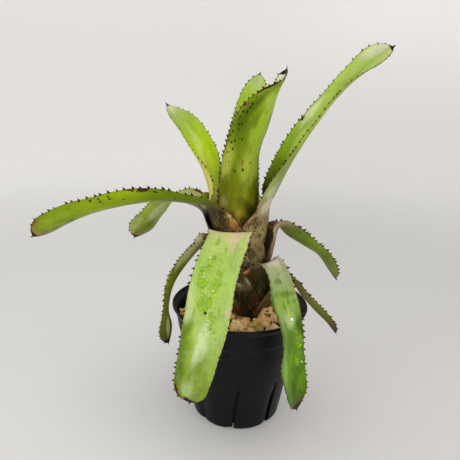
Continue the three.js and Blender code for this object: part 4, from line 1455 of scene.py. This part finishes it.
@dataclass(frozen=True)
class Pot:
    """A round tapered nursery pot with a small rolled lip and slits from its floor up its wall.

    Each slit leans by its own angle at the floor, and the panel to its left is tucked in behind it.
    """

    name: str = "pot"
    height: float = 105.0
    lip_radius: float = 60.0
    lip_height: float = 7.0
    lip_wall: float = 1.6
    floor_radius: float = 36.5
    corner_radius: float = 40.2
    corner_height: float = 4.0
    under_lip_radius: float = 56.7
    wall: float = 1.3
    floor: float = 1.8
    slit_count: int = 8
    slit_first: float = 2.0
    slit_width: float = 1.5
    slit_height: float = 45.0
    slit_inner: float = 25.0
    slit_leans: tuple[float, ...] = (-5.0, -1.0, 2.0, -2.0, 1.5, -1.0, 2.5, 2.0)
    tuck: float = 2.3
    tuck_right: float = 0.25
    tuck_reach: float = 5.5
    tuck_heights: tuple[float, float] = (8.0, -22.0)
    tuck_radii: tuple[float, float] = (26.0, 38.0)
    ledge: float = 0.35
    ledge_height: float = 84.0
    panel_columns: int = 24
    slit_columns: int = 4
    crowding: float = 0.11
    floor_rings: tuple[float, ...] = (8.0, 16.0, 25.0, 30.0, 33.5)
    drop_count: int = 110
    drop_azimuth: tuple[float, float] = (14.0, 22.0)
    drop_top: float = 100.0
    drop_fall: float = 46.0
    drop_small: float = 0.35
    drop_large: float = 1.1
    finish: PotPlastic = PotPlastic()

    def wall_radius(self, z: Array) -> Array:
        """Outer radius of the straight taper at the heights, with a faint ledge round it.

        Args:
            z: Heights.

        Returns:
            Radii.
        """
        top = self.height - self.lip_height
        share = (z - self.corner_height) / (top - self.corner_height)
        step = self.ledge * (ease(self.ledge_height - 0.4, self.ledge_height + 0.4, z) - share)
        return self.corner_radius + (self.under_lip_radius - self.corner_radius) * share + step

    def _profile(self) -> tuple[Array, Array]:
        """Outer and inner halves of the wall's section, each from near the floor's middle to the crest.

        Returns:
            Rows of radius and height for each half.
        """
        under = self.height - self.lip_height
        ledge_z = self.ledge_height + np.array([-0.5, 0.5])
        wall_z = np.concatenate([
            np.linspace(self.corner_height + 1.5, self.slit_height, 16),
            np.linspace(self.slit_height + 3.0, self.ledge_height - 2.0, 8),
            ledge_z,
            np.linspace(self.ledge_height + 3.0, under - 1.0, 4),
        ])
        arc = np.linspace(0.0, math.pi / 2.0, 6)
        corner = np.column_stack([
            self.floor_radius + (self.corner_radius - self.floor_radius) * np.sin(arc),
            self.corner_height * (1.0 - np.cos(arc)),
        ])
        floor_r = np.array(self.floor_rings)
        flare = np.linspace(0.0, 1.0, 8)
        lip_r = self.under_lip_radius + (self.lip_radius - self.under_lip_radius) * ease(0.0, 1.0, flare)
        lip_z = under + flare * (self.lip_height - 1.4)
        crest_out = np.array([[-0.1, -0.7], [-0.45, -0.15], [-0.9, 0.0]])
        crest_in = np.array([[0.0, -0.7], [0.1, -0.3], [0.35, -0.05]])
        outer = np.vstack([
            np.column_stack([floor_r, np.zeros(len(floor_r))]),
            corner,
            np.column_stack([self.wall_radius(wall_z), wall_z]),
            np.column_stack([lip_r, lip_z]),
            crest_out + [self.lip_radius, self.height],
        ])
        inner = np.vstack([
            np.column_stack([floor_r, np.full(len(floor_r), self.floor)]),
            corner + np.column_stack([-self.wall * np.sin(arc), self.floor * np.cos(arc)]),
            np.column_stack([self.wall_radius(wall_z) - self.wall, wall_z]),
            np.column_stack([lip_r - self.wall - (self.lip_wall - self.wall) * flare, lip_z]),
            crest_in + [self.lip_radius - self.lip_wall, self.height],
        ])
        return outer, inner

    def _columns(self, radius: Array, z: Array) -> tuple[Array, Array, Array]:
        """Azimuths of the columns at each row of a face, and how they lie to the slits.

        A slit keeps its width in millimetres, so its columns close in as the radius grows. It leans
        away from its azimuth at its top by its own angle at the floor, and the panels' columns share
        the angle between the slits, closer together near them.

        Args:
            radius: The rows' radii.
            z: Their heights.

        Returns:
            The azimuths, the signed angle from each to the nearest slit's middle, and whether the
            strip after each column is a slit.
        """
        pitch = 2.0 * math.pi / self.slit_count
        half = np.arcsin(0.5 * self.slit_width / np.maximum(radius, self.slit_inner))[:, None]
        fade = (1.0 - z / self.slit_height).clip(0.0, 1.0)[:, None]
        leans = np.radians(self.slit_leans)
        slit = np.linspace(-1.0, 1.0, self.slit_columns + 1)[None, :-1] * half
        t = np.linspace(0.0, 1.0, self.panel_columns + 1)[:-1]
        t = t - self.crowding * np.sin(2.0 * math.pi * t)
        first = math.radians(self.slit_first)
        angles, offs = [], []
        for k in range(self.slit_count):
            own = first + pitch * k + leans[k] * fade
            after = first + pitch * (k + 1) + leans[(k + 1) % self.slit_count] * fade
            panel = (own + half) + t[None, :] * ((after - half) - (own + half))
            one = np.concatenate([own + slit, panel], axis=1)
            angles.append(one)
            offs.append(np.where(one - own < after - one, one - own, one - after))
        column = np.arange(self.slit_columns + self.panel_columns)
        is_slit = np.tile(column < self.slit_columns, self.slit_count)
        return np.concatenate(angles, axis=1), np.concatenate(offs, axis=1), is_slit

    def _surface(self, profile: Array) -> Array:
        """Points of one face of the wall, pulled in beside each slit.

        The pull is tuck x e^(-(d / tuck_reach)^2) at distance d left of the slit's middle, and only a
        share of that to its right. It fades over `tuck_heights` from the slit's top and over
        `tuck_radii` on the floor.

        Args:
            profile: Rows of radius and height.

        Returns:
            The points, row by row.
        """
        radius, z = profile[:, 0], profile[:, 1]
        angles, off, _ = self._columns(radius, z)
        away = off * radius[:, None]
        edge = 0.6 * self.slit_width
        one_sided = self.tuck_right + (1.0 - self.tuck_right) * ease(edge, -edge, away)
        none, full = (self.slit_height + step for step in self.tuck_heights)
        fade = (ease(none, full, z) * ease(*self.tuck_radii, radius))[:, None]
        pulled = radius[:, None] - self.tuck * one_sided * fade * np.exp(-((away / self.tuck_reach) ** 2))
        heights = np.broadcast_to(z[:, None], angles.shape)
        return np.stack([pulled * np.sin(angles), -pulled * np.cos(angles), heights], -1)

    def build(self) -> bpy.types.Object:
        """Makes the pot as one closed wall with its slits open, and beads of water on it.

        Returns:
            The piece.
        """
        outer, inner = self._profile()
        shell = Shell()
        self._add_wall(shell, outer, inner)
        self._add_drops(shell)
        piece = shell.build("pot_dressed", self.finish.material("pot_plastic"))
        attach(piece, "root")
        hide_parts(self.name)
        return piece

    def _add_wall(self, shell: Shell, outer: Array, inner: Array) -> None:
        """Both faces of the wall with the slits' strips left out, and the slits' edges between them.

        Args:
            shell: Where it is added.
            outer: The outer half of the section.
            inner: Its inner half.
        """
        out_grid, in_grid = self._surface(outer), self._surface(inner)
        rows, around = out_grid.shape[:2]
        is_slit = self._columns(outer[:, 0], outer[:, 1])[2]
        in_slit_row = (outer[:, 0] >= self.slit_inner - 0.1) & (outer[:, 1] <= self.slit_height + 0.1)
        open_cell = (in_slit_row[:-1] & in_slit_row[1:])[:, None] & is_slit[None, :]

        behind = rows * around
        cells = ring_faces(rows, around).reshape(rows - 1, around, 4)
        outside = cells[~open_cell]
        inside = outside[:, ::-1] + behind
        crest = np.arange(around) + (rows - 1) * around
        crest_next = np.roll(crest, -1)
        lip = np.column_stack([crest, crest_next, crest_next + behind, crest + behind])
        edges = []
        i, j = np.nonzero(open_cell)
        sides = ((0, 1, i - 1, j), (1, 2, i, (j + 1) % around), (2, 3, i + 1, j), (3, 0, i, j - 1))
        for a, b, near_i, near_j in sides:
            solid = ~open_cell[np.clip(near_i, 0, rows - 2), near_j]
            face = cells[i[solid], j[solid]]
            first, second = face[:, a], face[:, b]
            edges.append(np.column_stack([first, second, second + behind, first + behind]))
        middle = 2 * behind
        under = fan_faces(np.arange(around), middle, flip=True)
        over = fan_faces(np.arange(around) + behind, middle + 1)
        middles = [[0.0, 0.0, 0.0], [0.0, 0.0, self.floor]]
        points = np.vstack([out_grid.reshape(-1, 3), in_grid.reshape(-1, 3), middles])
        shell.add(points, outside, inside, lip, *edges, under, over, wet=0.0)

    def _add_drops(self, shell: Shell) -> None:
        """Beads of water: shallow domes scattered over the front of the wall by a seeded draw.

        Args:
            shell: Where it is added.
        """
        random = np.random.default_rng(5)
        azimuth = np.radians(random.normal(*self.drop_azimuth, self.drop_count))
        z = self.drop_top - self.drop_fall * random.random(self.drop_count) ** 0.8
        size = self.drop_small + (self.drop_large - self.drop_small) * random.random(self.drop_count) ** 2
        normal = np.stack([np.sin(azimuth), -np.cos(azimuth), np.full_like(azimuth, -0.16)], -1)
        radius = self.wall_radius(z)
        centre = np.stack([radius * np.sin(azimuth), -radius * np.cos(azimuth), z], -1)
        add_domes(shell, centre, unit(normal), size, 0.5, wet=np.ones(self.drop_count))


# Sides of a drop of water, and the angles of its rings above its own middle, in degrees.
DOME_SIDES = 8
DOME_RINGS = (-25.0, 10.0, 45.0)


def add_domes(
    shell: Shell, centre: Array, normal: Array, size: Array, height: float, **values: Array
) -> None:
    """Adds shallow closed domes, each sunk a little in its surface.

    A ring at angle a of the dome has radius size x cos(a) and stands height x size x sin(a) out.

    Args:
        shell: Where they are added.
        centre: Middles on the surface.
        normal: Ways out of the surface.
        size: Radii.
        height: Height as a share of the radius.
        values: One number or row of numbers per dome, by name.
    """
    around, tilts = DOME_SIDES, np.radians(DOME_RINGS)
    side = unit(np.cross(normal, [0.3, 0.2, 1.0]))
    other = np.cross(normal, side)
    turn = np.arange(around) * 2.0 * math.pi / around
    cos, sin = np.cos(turn)[None, :, None], np.sin(turn)[None, :, None]
    circle = side[:, None, :] * cos + other[:, None, :] * sin
    rings = []
    for tilt in tilts:
        level = centre + normal * (size * height * math.sin(tilt))[:, None]
        rings.append(level[:, None, :] + circle * (size * math.cos(tilt))[:, None, None])
    top = centre + normal * (size * height)[:, None]
    low = centre - normal * (0.5 * size * height)[:, None]
    per = len(tilts) * around + 2
    points = np.concatenate([*rings, top[:, None, :], low[:, None, :]], axis=1).reshape(-1, 3)
    starts = np.arange(len(centre))[:, None, None] * per
    last = np.arange(around) + (len(tilts) - 1) * around
    quads = (ring_faces(len(tilts), around)[None] + starts).reshape(-1, 4)
    tops = (fan_faces(last, per - 2)[None] + starts).reshape(-1, 3)
    lows = (fan_faces(np.arange(around), per - 1, flip=True)[None] + starts).reshape(-1, 3)
    spread = {name: np.repeat(rows, per, axis=0) for name, rows in values.items()}
    shell.add(points, quads, tops, lows, **spread)


@dataclass(frozen=True)
class Stone:
    """One stone: its middle, its half size, its tone from 0 to 1, its pits and how flat its cuts are."""

    x: float
    y: float
    z: float
    radius: float
    tone: float
    pits: float = 0.0
    flat: float = 0.8
    facet: float = 0.86


@dataclass(frozen=True)
class PumiceFinish:
    """Dry pumice: grains from beige to orange tan and brown, with pores and pits painted dark as shade in
    their hollows.
    """

    light: str = "#ffe2a8"
    warm: str = "#ffc478"
    olive: str = "#b8a650"
    dark: str = "#86643c"
    body: str = "#2a180b"

    def material(self, name: str) -> bpy.types.Material:
        """The finish as a material, which reads each grain's tone.

        Args:
            name: The finish's name.

        Returns:
            The material.
        """
        bench = NodeBench(name)
        tone = bench.value_of("tone")
        skin = bench.coat(rgba(self.light), tone, Coat(0.15, 0.5, 1.0, self.warm))
        skin = bench.coat(skin, tone, Coat(0.55, 0.8, 1.0, self.olive))
        skin = bench.coat(skin, tone, Coat(0.84, 0.98, 1.0, self.dark))
        patch = bench.noise(bench.place(0.25, 0.25, 0.25), 4.0, 0.6)
        skin = bench.coat(skin, patch, Coat(0.45, 0.7, 0.4, "#d8904a"))
        skin = bench.coat(skin, patch, Coat(0.5, 0.3, 0.45, "#f4e2bf"))
        away, _ = bench.cells(bench.place(0.8, 0.8, 0.8))
        chosen = bench.level(bench.noise(bench.place(0.4, 0.4, 0.4), 2.0), 0.46, 0.56)
        pores = bench.times(bench.level(away, 0.38, 0.2), chosen)
        # painted shade: pores and the stones' pits are darkened as their hollows would be in shade
        shaded_hollows = bench.larger(pores, bench.level(bench.value_of("pit"), 0.3, 0.75))
        skin = bench.paint(bench.times(shaded_hollows, 0.8), skin, "#4a2a12")
        grit = bench.noise(bench.place(1.6, 1.6, 1.6), 5.0, 0.7)
        skin = bench.coat(skin, grit, Coat(0.5, 0.75, 0.22, "#a87840"))
        skin = bench.coat(skin, tone, Coat(1.2, 1.6, 1.0, self.body))
        normal = bench.bump(bench.less(1.0, shaded_hollows), 0.8, 0.7, bench.bump(grit, 0.5, 0.8))
        return bench.finish(Base_Color=skin, Roughness=0.92, Normal=normal, Specular_IOR_Level=0.25)


@dataclass(frozen=True)
class Pumice:
    """The potting stone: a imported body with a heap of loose-looking grains on top."""

    name: str = "pumice_fill"
    top: float = 94.0
    bottom: float = 2.3
    grain_count: int = 330
    small: float = 2.4
    large: float = 5.6
    reach: float = 54.0
    clear: float = 16.0
    seed: int = 21
    stray: float = 0.3
    heap: float = 1.5
    heap_right: float = 3.0
    lift_range: tuple[float, float] = (-1.2, 2.6)
    flat_range: tuple[float, float] = (0.6, 0.95)
    plane_count: int = 9
    plane_range: tuple[float, float] = (0.62, 0.88)
    roll: float = 0.045
    pit_count: int = 90
    pit_narrow: float = 0.004
    pit_spread: float = 0.016
    pit_depth: float = 0.14
    stones: tuple[Stone, ...] = (
        Stone(24, -19, 98.6, 9.8, 0.3, 1.0, 0.95),
        Stone(-2, -32, 97, 5.8, 0.2, 0.0, 0.95, 0.35),
        Stone(5, -25, 96.5, 4.4, 0.5, 0.0, 0.9, 0.4),
        Stone(11, -31, 96.5, 4.2, 0.74, 0.0, 0.8, 0.5),
        Stone(17, -35, 96, 3.6, 0.78, 0.0, 0.8, 0.5),
        Stone(14, -25, 96, 3.4, 0.72),
        Stone(29, -33, 96, 4.4, 0.12),
        Stone(-47, -12, 97, 6.5, 0.4),
        Stone(-4, -13, 95.5, 4.6, 0.97),
        Stone(5, -14, 95, 4.2, 0.98),
    )
    finish: PumiceFinish = PumiceFinish()

    def build(self) -> bpy.types.Object:
        """Makes the body and its grains as one piece.

        Returns:
            The piece.
        """
        shell = Shell()
        self._add_body(shell)
        random = np.random.default_rng(self.seed)
        sphere, fine, finest = self._ball(2), self._ball(4), self._ball(5)
        for stone in self.stones:
            self._add_stone(shell, finest if stone.pits else fine, random, stone)
        for k in range(self.grain_count):
            self._add_stone(shell, sphere, random, self._grain(k, random))
        piece = shell.build("pumice_dressed", self.finish.material("pumice"))
        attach(piece, "root")
        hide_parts(self.name)
        return piece

    def _grain(self, k: int, random: np.random.Generator) -> Stone:
        """A loose grain on a spiral, at a radius of the root of clear^2 + (reach^2 - clear^2) x share.

        Args:
            k: Its number; the share is how far that is through the count.
            random: The seeded draws.

        Returns:
            The grain, held inside the pot's wall and a little higher near the middle of the heap.
        """
        share = (k + 0.5) / self.grain_count
        out = math.sqrt(self.clear**2 + (self.reach**2 - self.clear**2) * share)
        turn = k * GOLDEN_ANGLE * 1.7 + random.uniform(-self.stray, self.stray)
        radius = self.small + (self.large - self.small) * random.random() ** 1.4
        out = min(out, self.reach + 1.5 - radius)
        grain = Stone(
            x=out * math.sin(turn) + self.heap_right,
            y=-out * math.cos(turn),
            z=self.top + random.uniform(*self.lift_range) - self.heap * out / self.reach,
            radius=radius,
            tone=random.random() ** 1.3 * 0.95,
            flat=random.uniform(*self.flat_range),
        )
        away, room = math.hypot(grain.x, grain.y), self.reach + 1.0
        if away + radius > room:
            shrink = (room - radius) / away
            grain = replace(grain, x=grain.x * shrink, y=grain.y * shrink)
        return grain

    @staticmethod
    def _ball(cuts: int) -> tuple[Array, Array]:
        """A unit ball of even triangles, as points and faces.

        Args:
            cuts: How finely it is divided.

        Returns:
            Points, and rows of three vertex numbers.
        """
        work = bmesh.new()
        bmesh.ops.create_icosphere(work, subdivisions=cuts, radius=1.0)
        points = np.array([vertex.co[:] for vertex in work.verts])
        faces = np.array([[vertex.index for vertex in face.verts] for face in work.faces])
        work.free()
        return points, faces

    def _add_stone(
        self, shell: Shell, ball: tuple[Array, Array], random: np.random.Generator, stone: Stone
    ) -> None:
        """Adds one stone: a ball flattened against chance planes, dented, and pitted if it has pits.

        Each chance plane with normal n keeps p . n below a chance limit in `plane_range`. The surface
        rolls by sums of sines of its own direction, and a pit is e^(-2(1 - p . n) / width) deep.

        Args:
            shell: Where it is added.
            ball: Points and faces of a unit ball.
            random: The seeded draws.
            stone: Its place, size and kind.
        """
        points, faces = ball
        shaped = points.copy()
        for normal in unit(random.normal(size=(self.plane_count, 3))):
            over = np.maximum(shaped @ normal - random.uniform(*self.plane_range), 0.0)
            shaped = shaped - normal * (over * stone.facet)[:, None]
        waves = random.uniform(2.0, 5.0, (4, 3))
        roll = sum(np.sin(points @ wave + k) for k, wave in enumerate(waves))
        shaped = shaped * (1.0 + self.roll * roll)[:, None]
        pit = np.zeros(len(points))
        if stone.pits:
            pits = unit(random.normal(size=(self.pit_count, 3)))
            wide = self.pit_narrow + self.pit_spread * random.random(self.pit_count) ** 2
            near = np.exp(-((1.0 - points @ pits.T) * 2.0) / wide)
            pit = np.clip(near.sum(1), 0.0, 1.0)
            shaped = shaped * (1.0 - self.pit_depth * stone.pits * pit)[:, None]
        shaped = shaped * np.array([1.0, random.uniform(0.72, 1.0), stone.flat])
        turn = random.uniform(0.0, 2.0 * math.pi)
        tip = random.uniform(-0.5, 0.5)
        c, s = math.cos(turn), math.sin(turn)
        about_z = np.array([[c, -s, 0.0], [s, c, 0.0], [0.0, 0.0, 1.0]])
        c, s = math.cos(tip), math.sin(tip)
        about_x = np.array([[1.0, 0.0, 0.0], [0.0, c, -s], [0.0, s, c]])
        placed = shaped @ (about_z @ about_x).T * stone.radius + np.array([stone.x, stone.y, stone.z])
        shell.add(placed, faces, tone=stone.tone, pit=pit)

    def _add_body(self, shell: Shell) -> None:
        """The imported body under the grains, a closed turned shape inside the pot's wall.

        Args:
            shell: Where it is added.
        """
        pot = Pot()
        z = np.linspace(pot.corner_height + 2.0, self.top - 1.8, 12)
        side = np.column_stack([pot.wall_radius(z) - pot.wall - pot.tuck - 0.3, z])
        foot, shoulder = [pot.floor_radius - 3.0, self.bottom], [40.0, self.top - 0.6]
        crown = [16.0, self.top - 0.4]
        profile = np.vstack([foot, side, shoulder, crown])
        around = TURNED_SIDES
        rings = turned(profile)
        ends = [[0.0, 0.0, self.bottom], [0.0, 0.0, crown[1]]]
        count = len(rings)
        low = fan_faces(np.arange(around), count, flip=True)
        high = fan_faces(np.arange(around) + count - around, count + 1)
        body = ring_faces(len(profile), around)
        shell.add(np.vstack([rings, ends]), body, low, high, tone=2.0, pit=0.0)


@dataclass(frozen=True)
class StemBark:
    """Brown corky stem and roots."""

    light: str = "#6b4a2c"
    dark: str = "#2a1a0e"

    def dress(self, node: bpy.types.Object) -> None:
        """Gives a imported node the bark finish.

        Args:
            node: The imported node.
        """
        bench = NodeBench("stem_bark")
        cork = bench.noise(bench.place(0.5, 0.5, 0.12), 6.0, 0.7)
        skin = bench.coat(rgba(self.dark), cork, Coat(0.35, 0.65, 1.0, self.light))
        material = bench.finish(Base_Color=skin, Roughness=0.85, Normal=bench.bump(cork, 0.8, 0.8))
        node.data.materials.clear()
        node.data.materials.append(material)


@dataclass(frozen=True)
class Lamp:
    """A round soft light: its place and width in millimetres, its power in watts and its colour."""

    name: str
    place: tuple[float, float, float]
    size: float
    power: float
    colour: str

    def hang(self, focus: tuple[float, float, float]) -> None:
        """Adds the light, turned to face a point in millimetres.

        Args:
            focus: The point.
        """
        lamp = bpy.data.lights.new(self.name, "AREA")
        lamp.shape = "DISK"
        lamp.size = self.size * MM
        lamp.energy = self.power
        lamp.color = linear(self.colour).tolist()
        light = bpy.data.objects.new(self.name, lamp)
        spot = Vector(self.place) * MM
        aim = Vector(focus) * MM - spot
        light.matrix_world = Matrix.Translation(spot) @ aim.to_track_quat("-Z", "Y").to_matrix().to_4x4()
        bpy.context.collection.objects.link(light)


@dataclass(frozen=True)
class SweepPaint:
    """Matt paint of the sweep, greyer near the plant, with a faint painted glow though it is no lamp: it
    grows with height, lifts the floor's cast shadow left of the plant and brightens the wall to the
    right.
    """

    floor: str = "#c4c3c1"
    wall: str = "#eae9e7"
    smudge: str = "#bebcba"
    glow: str = "#fffdfa"

    def material(self, name: str) -> bpy.types.Material:
        """The finish as a material; distances and heights in it are metres.

        Args:
            name: The finish's name.

        Returns:
            The material.
        """
        bench = NodeBench(name)
        haze = bench.noise(bench.place(0.004, 0.004, 0.004), 2.0)
        paint = bench.coat(rgba(self.floor), haze, Coat(0.3, 0.7, 0.05, self.smudge))
        spot = bench.node("ShaderNodeTexCoord", {}).outputs["Object"]
        place = bench.node("ShaderNodeSeparateXYZ", {"Vector": spot})
        x, y, z = (place.outputs[axis] for axis in "XYZ")
        away = bench.root(bench.add(bench.times(x, x), bench.times(y, y)))
        paint = bench.coat(paint, away, Coat(0.4, 1.6, 1.0, self.wall))
        rising = bench.level(z, 0.0, 0.8, 0.05, 0.15)
        # painted light: glow that lifts the cast shadow on the floor left of the plant
        left_shadow_glow = bench.times(bench.level(x, 0.1, -0.15, 0.0, 0.075), bench.level(z, 0.6, 0.0))
        # painted light: glow that brightens the upper wall to the right
        right_wall_glow = bench.times(bench.level(x, -0.2, 0.8, 0.0, 0.08), bench.level(z, 0.2, 0.9))
        strength = bench.add(rising, bench.add(left_shadow_glow, right_wall_glow))
        return bench.finish(
            Base_Color=paint,
            Roughness=0.8,
            Specular_IOR_Level=0.2,
            Emission_Color=rgba(self.glow),
            Emission_Strength=strength,
        )


@dataclass(frozen=True)
class Studio:
    """Camera, lights and the pale sweep that the pot stands on."""

    eye: tuple[float, float, float] = (-1.7, -380.9, 274.3)
    pitch: float = 15.31
    yaw: float = -1.37
    roll: float = 1.84
    focal: float = 36.0
    sensor: float = 36.0
    floor_rings: tuple[float, ...] = (1.0, 200.0, 700.0)
    floor_radius: float = 1500.0
    bend: float = 700.0
    wall: float = 400.0
    paint: SweepPaint = SweepPaint()
    focus: tuple[float, float, float] = (0.0, 0.0, 140.0)
    lamps: tuple[Lamp, ...] = (
        Lamp("key_light", (620, -420, 860), 760, 2.1, "#fffaf4"),
        Lamp("fill_light", (-680, -460, 760), 760, 1.95, "#f8faff"),
        Lamp("front_light", (60, -620, 330), 300, 0.95, "#fffaf4"),
        Lamp("top_light", (60, 120, 1250), 900, 2.2, "#ffffff"),
    )
    sky: str = "#f4f3f1"
    sky_strength: float = 0.77

    def build(self) -> None:
        """Sets up the camera, the sweep, the lights and the sky."""
        self._camera()
        self._sweep()
        for lamp in self.lamps:
            lamp.hang(self.focus)
        world = bpy.data.worlds.new("sky")
        world.use_nodes = True
        background = world.node_tree.nodes["Background"]
        background.inputs["Color"].default_value = rgba(self.sky)
        background.inputs["Strength"].default_value = self.sky_strength
        bpy.context.scene.world = world
        bpy.context.scene.view_settings.view_transform = "Standard"

    def _camera(self) -> None:
        """A pinhole camera with the photograph's place, tilt and angle of view."""
        pitch, yaw, roll = (math.radians(a) for a in (self.pitch, self.yaw, self.roll))
        level = math.cos(pitch)
        ahead = Vector((math.sin(yaw) * level, math.cos(yaw) * level, -math.sin(pitch)))
        right = Vector((math.cos(yaw), -math.sin(yaw), 0.0))
        up = right.cross(ahead)
        right_rolled = right * math.cos(roll) + up * math.sin(roll)
        up_rolled = up * math.cos(roll) - right * math.sin(roll)
        lens = bpy.data.cameras.new("photo_camera")
        lens.lens = self.focal
        lens.sensor_width = self.sensor
        lens.sensor_fit = "HORIZONTAL"
        lens.clip_start = 0.01
        camera = bpy.data.objects.new("photo_camera", lens)
        turn = Matrix((right_rolled, up_rolled, -ahead)).transposed()
        camera.matrix_world = Matrix.Translation(Vector(self.eye) * MM) @ turn.to_4x4()
        bpy.context.collection.objects.link(camera)
        bpy.context.scene.camera = camera

    def _sweep(self) -> None:
        """A flat floor that curves up all round into a wall, as a turned sheet that faces in."""
        arc = np.linspace(0.0, math.pi / 2.0, 16)
        floor = [[radius, 0.0] for radius in self.floor_rings]
        out, up = self.floor_radius + self.bend * np.sin(arc), self.bend * (1.0 - np.cos(arc))
        rise = np.column_stack([out, up])
        profile = np.vstack([floor, rise, rise[-1] + [0.0, self.wall]])
        points = turned(profile)
        shell = Shell()
        middle = fan_faces(np.arange(TURNED_SIDES), len(points))
        quads = ring_faces(len(profile), TURNED_SIDES)[:, ::-1]
        shell.add(np.vstack([points, [[0.0, 0.0, 0.0]]]), quads, middle)
        sweep = shell.build("studio_sweep", self.paint.material("sweep_paint"))


def main() -> None:
    """Builds every piece in order and reports it."""
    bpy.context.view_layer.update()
    Studio().build()
    pieces = [Pot().build(), Pumice().build()]
    StemBark().dress(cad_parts["stem_with_roots"])
    pieces += [leaf.build() for leaf in LEAVES]
    for piece in pieces:
        log.info("%s: %d faces", piece.name, len(piece.data.polygons))


if __name__ == "__main__":
    logging.basicConfig(level=logging.INFO)
    main()
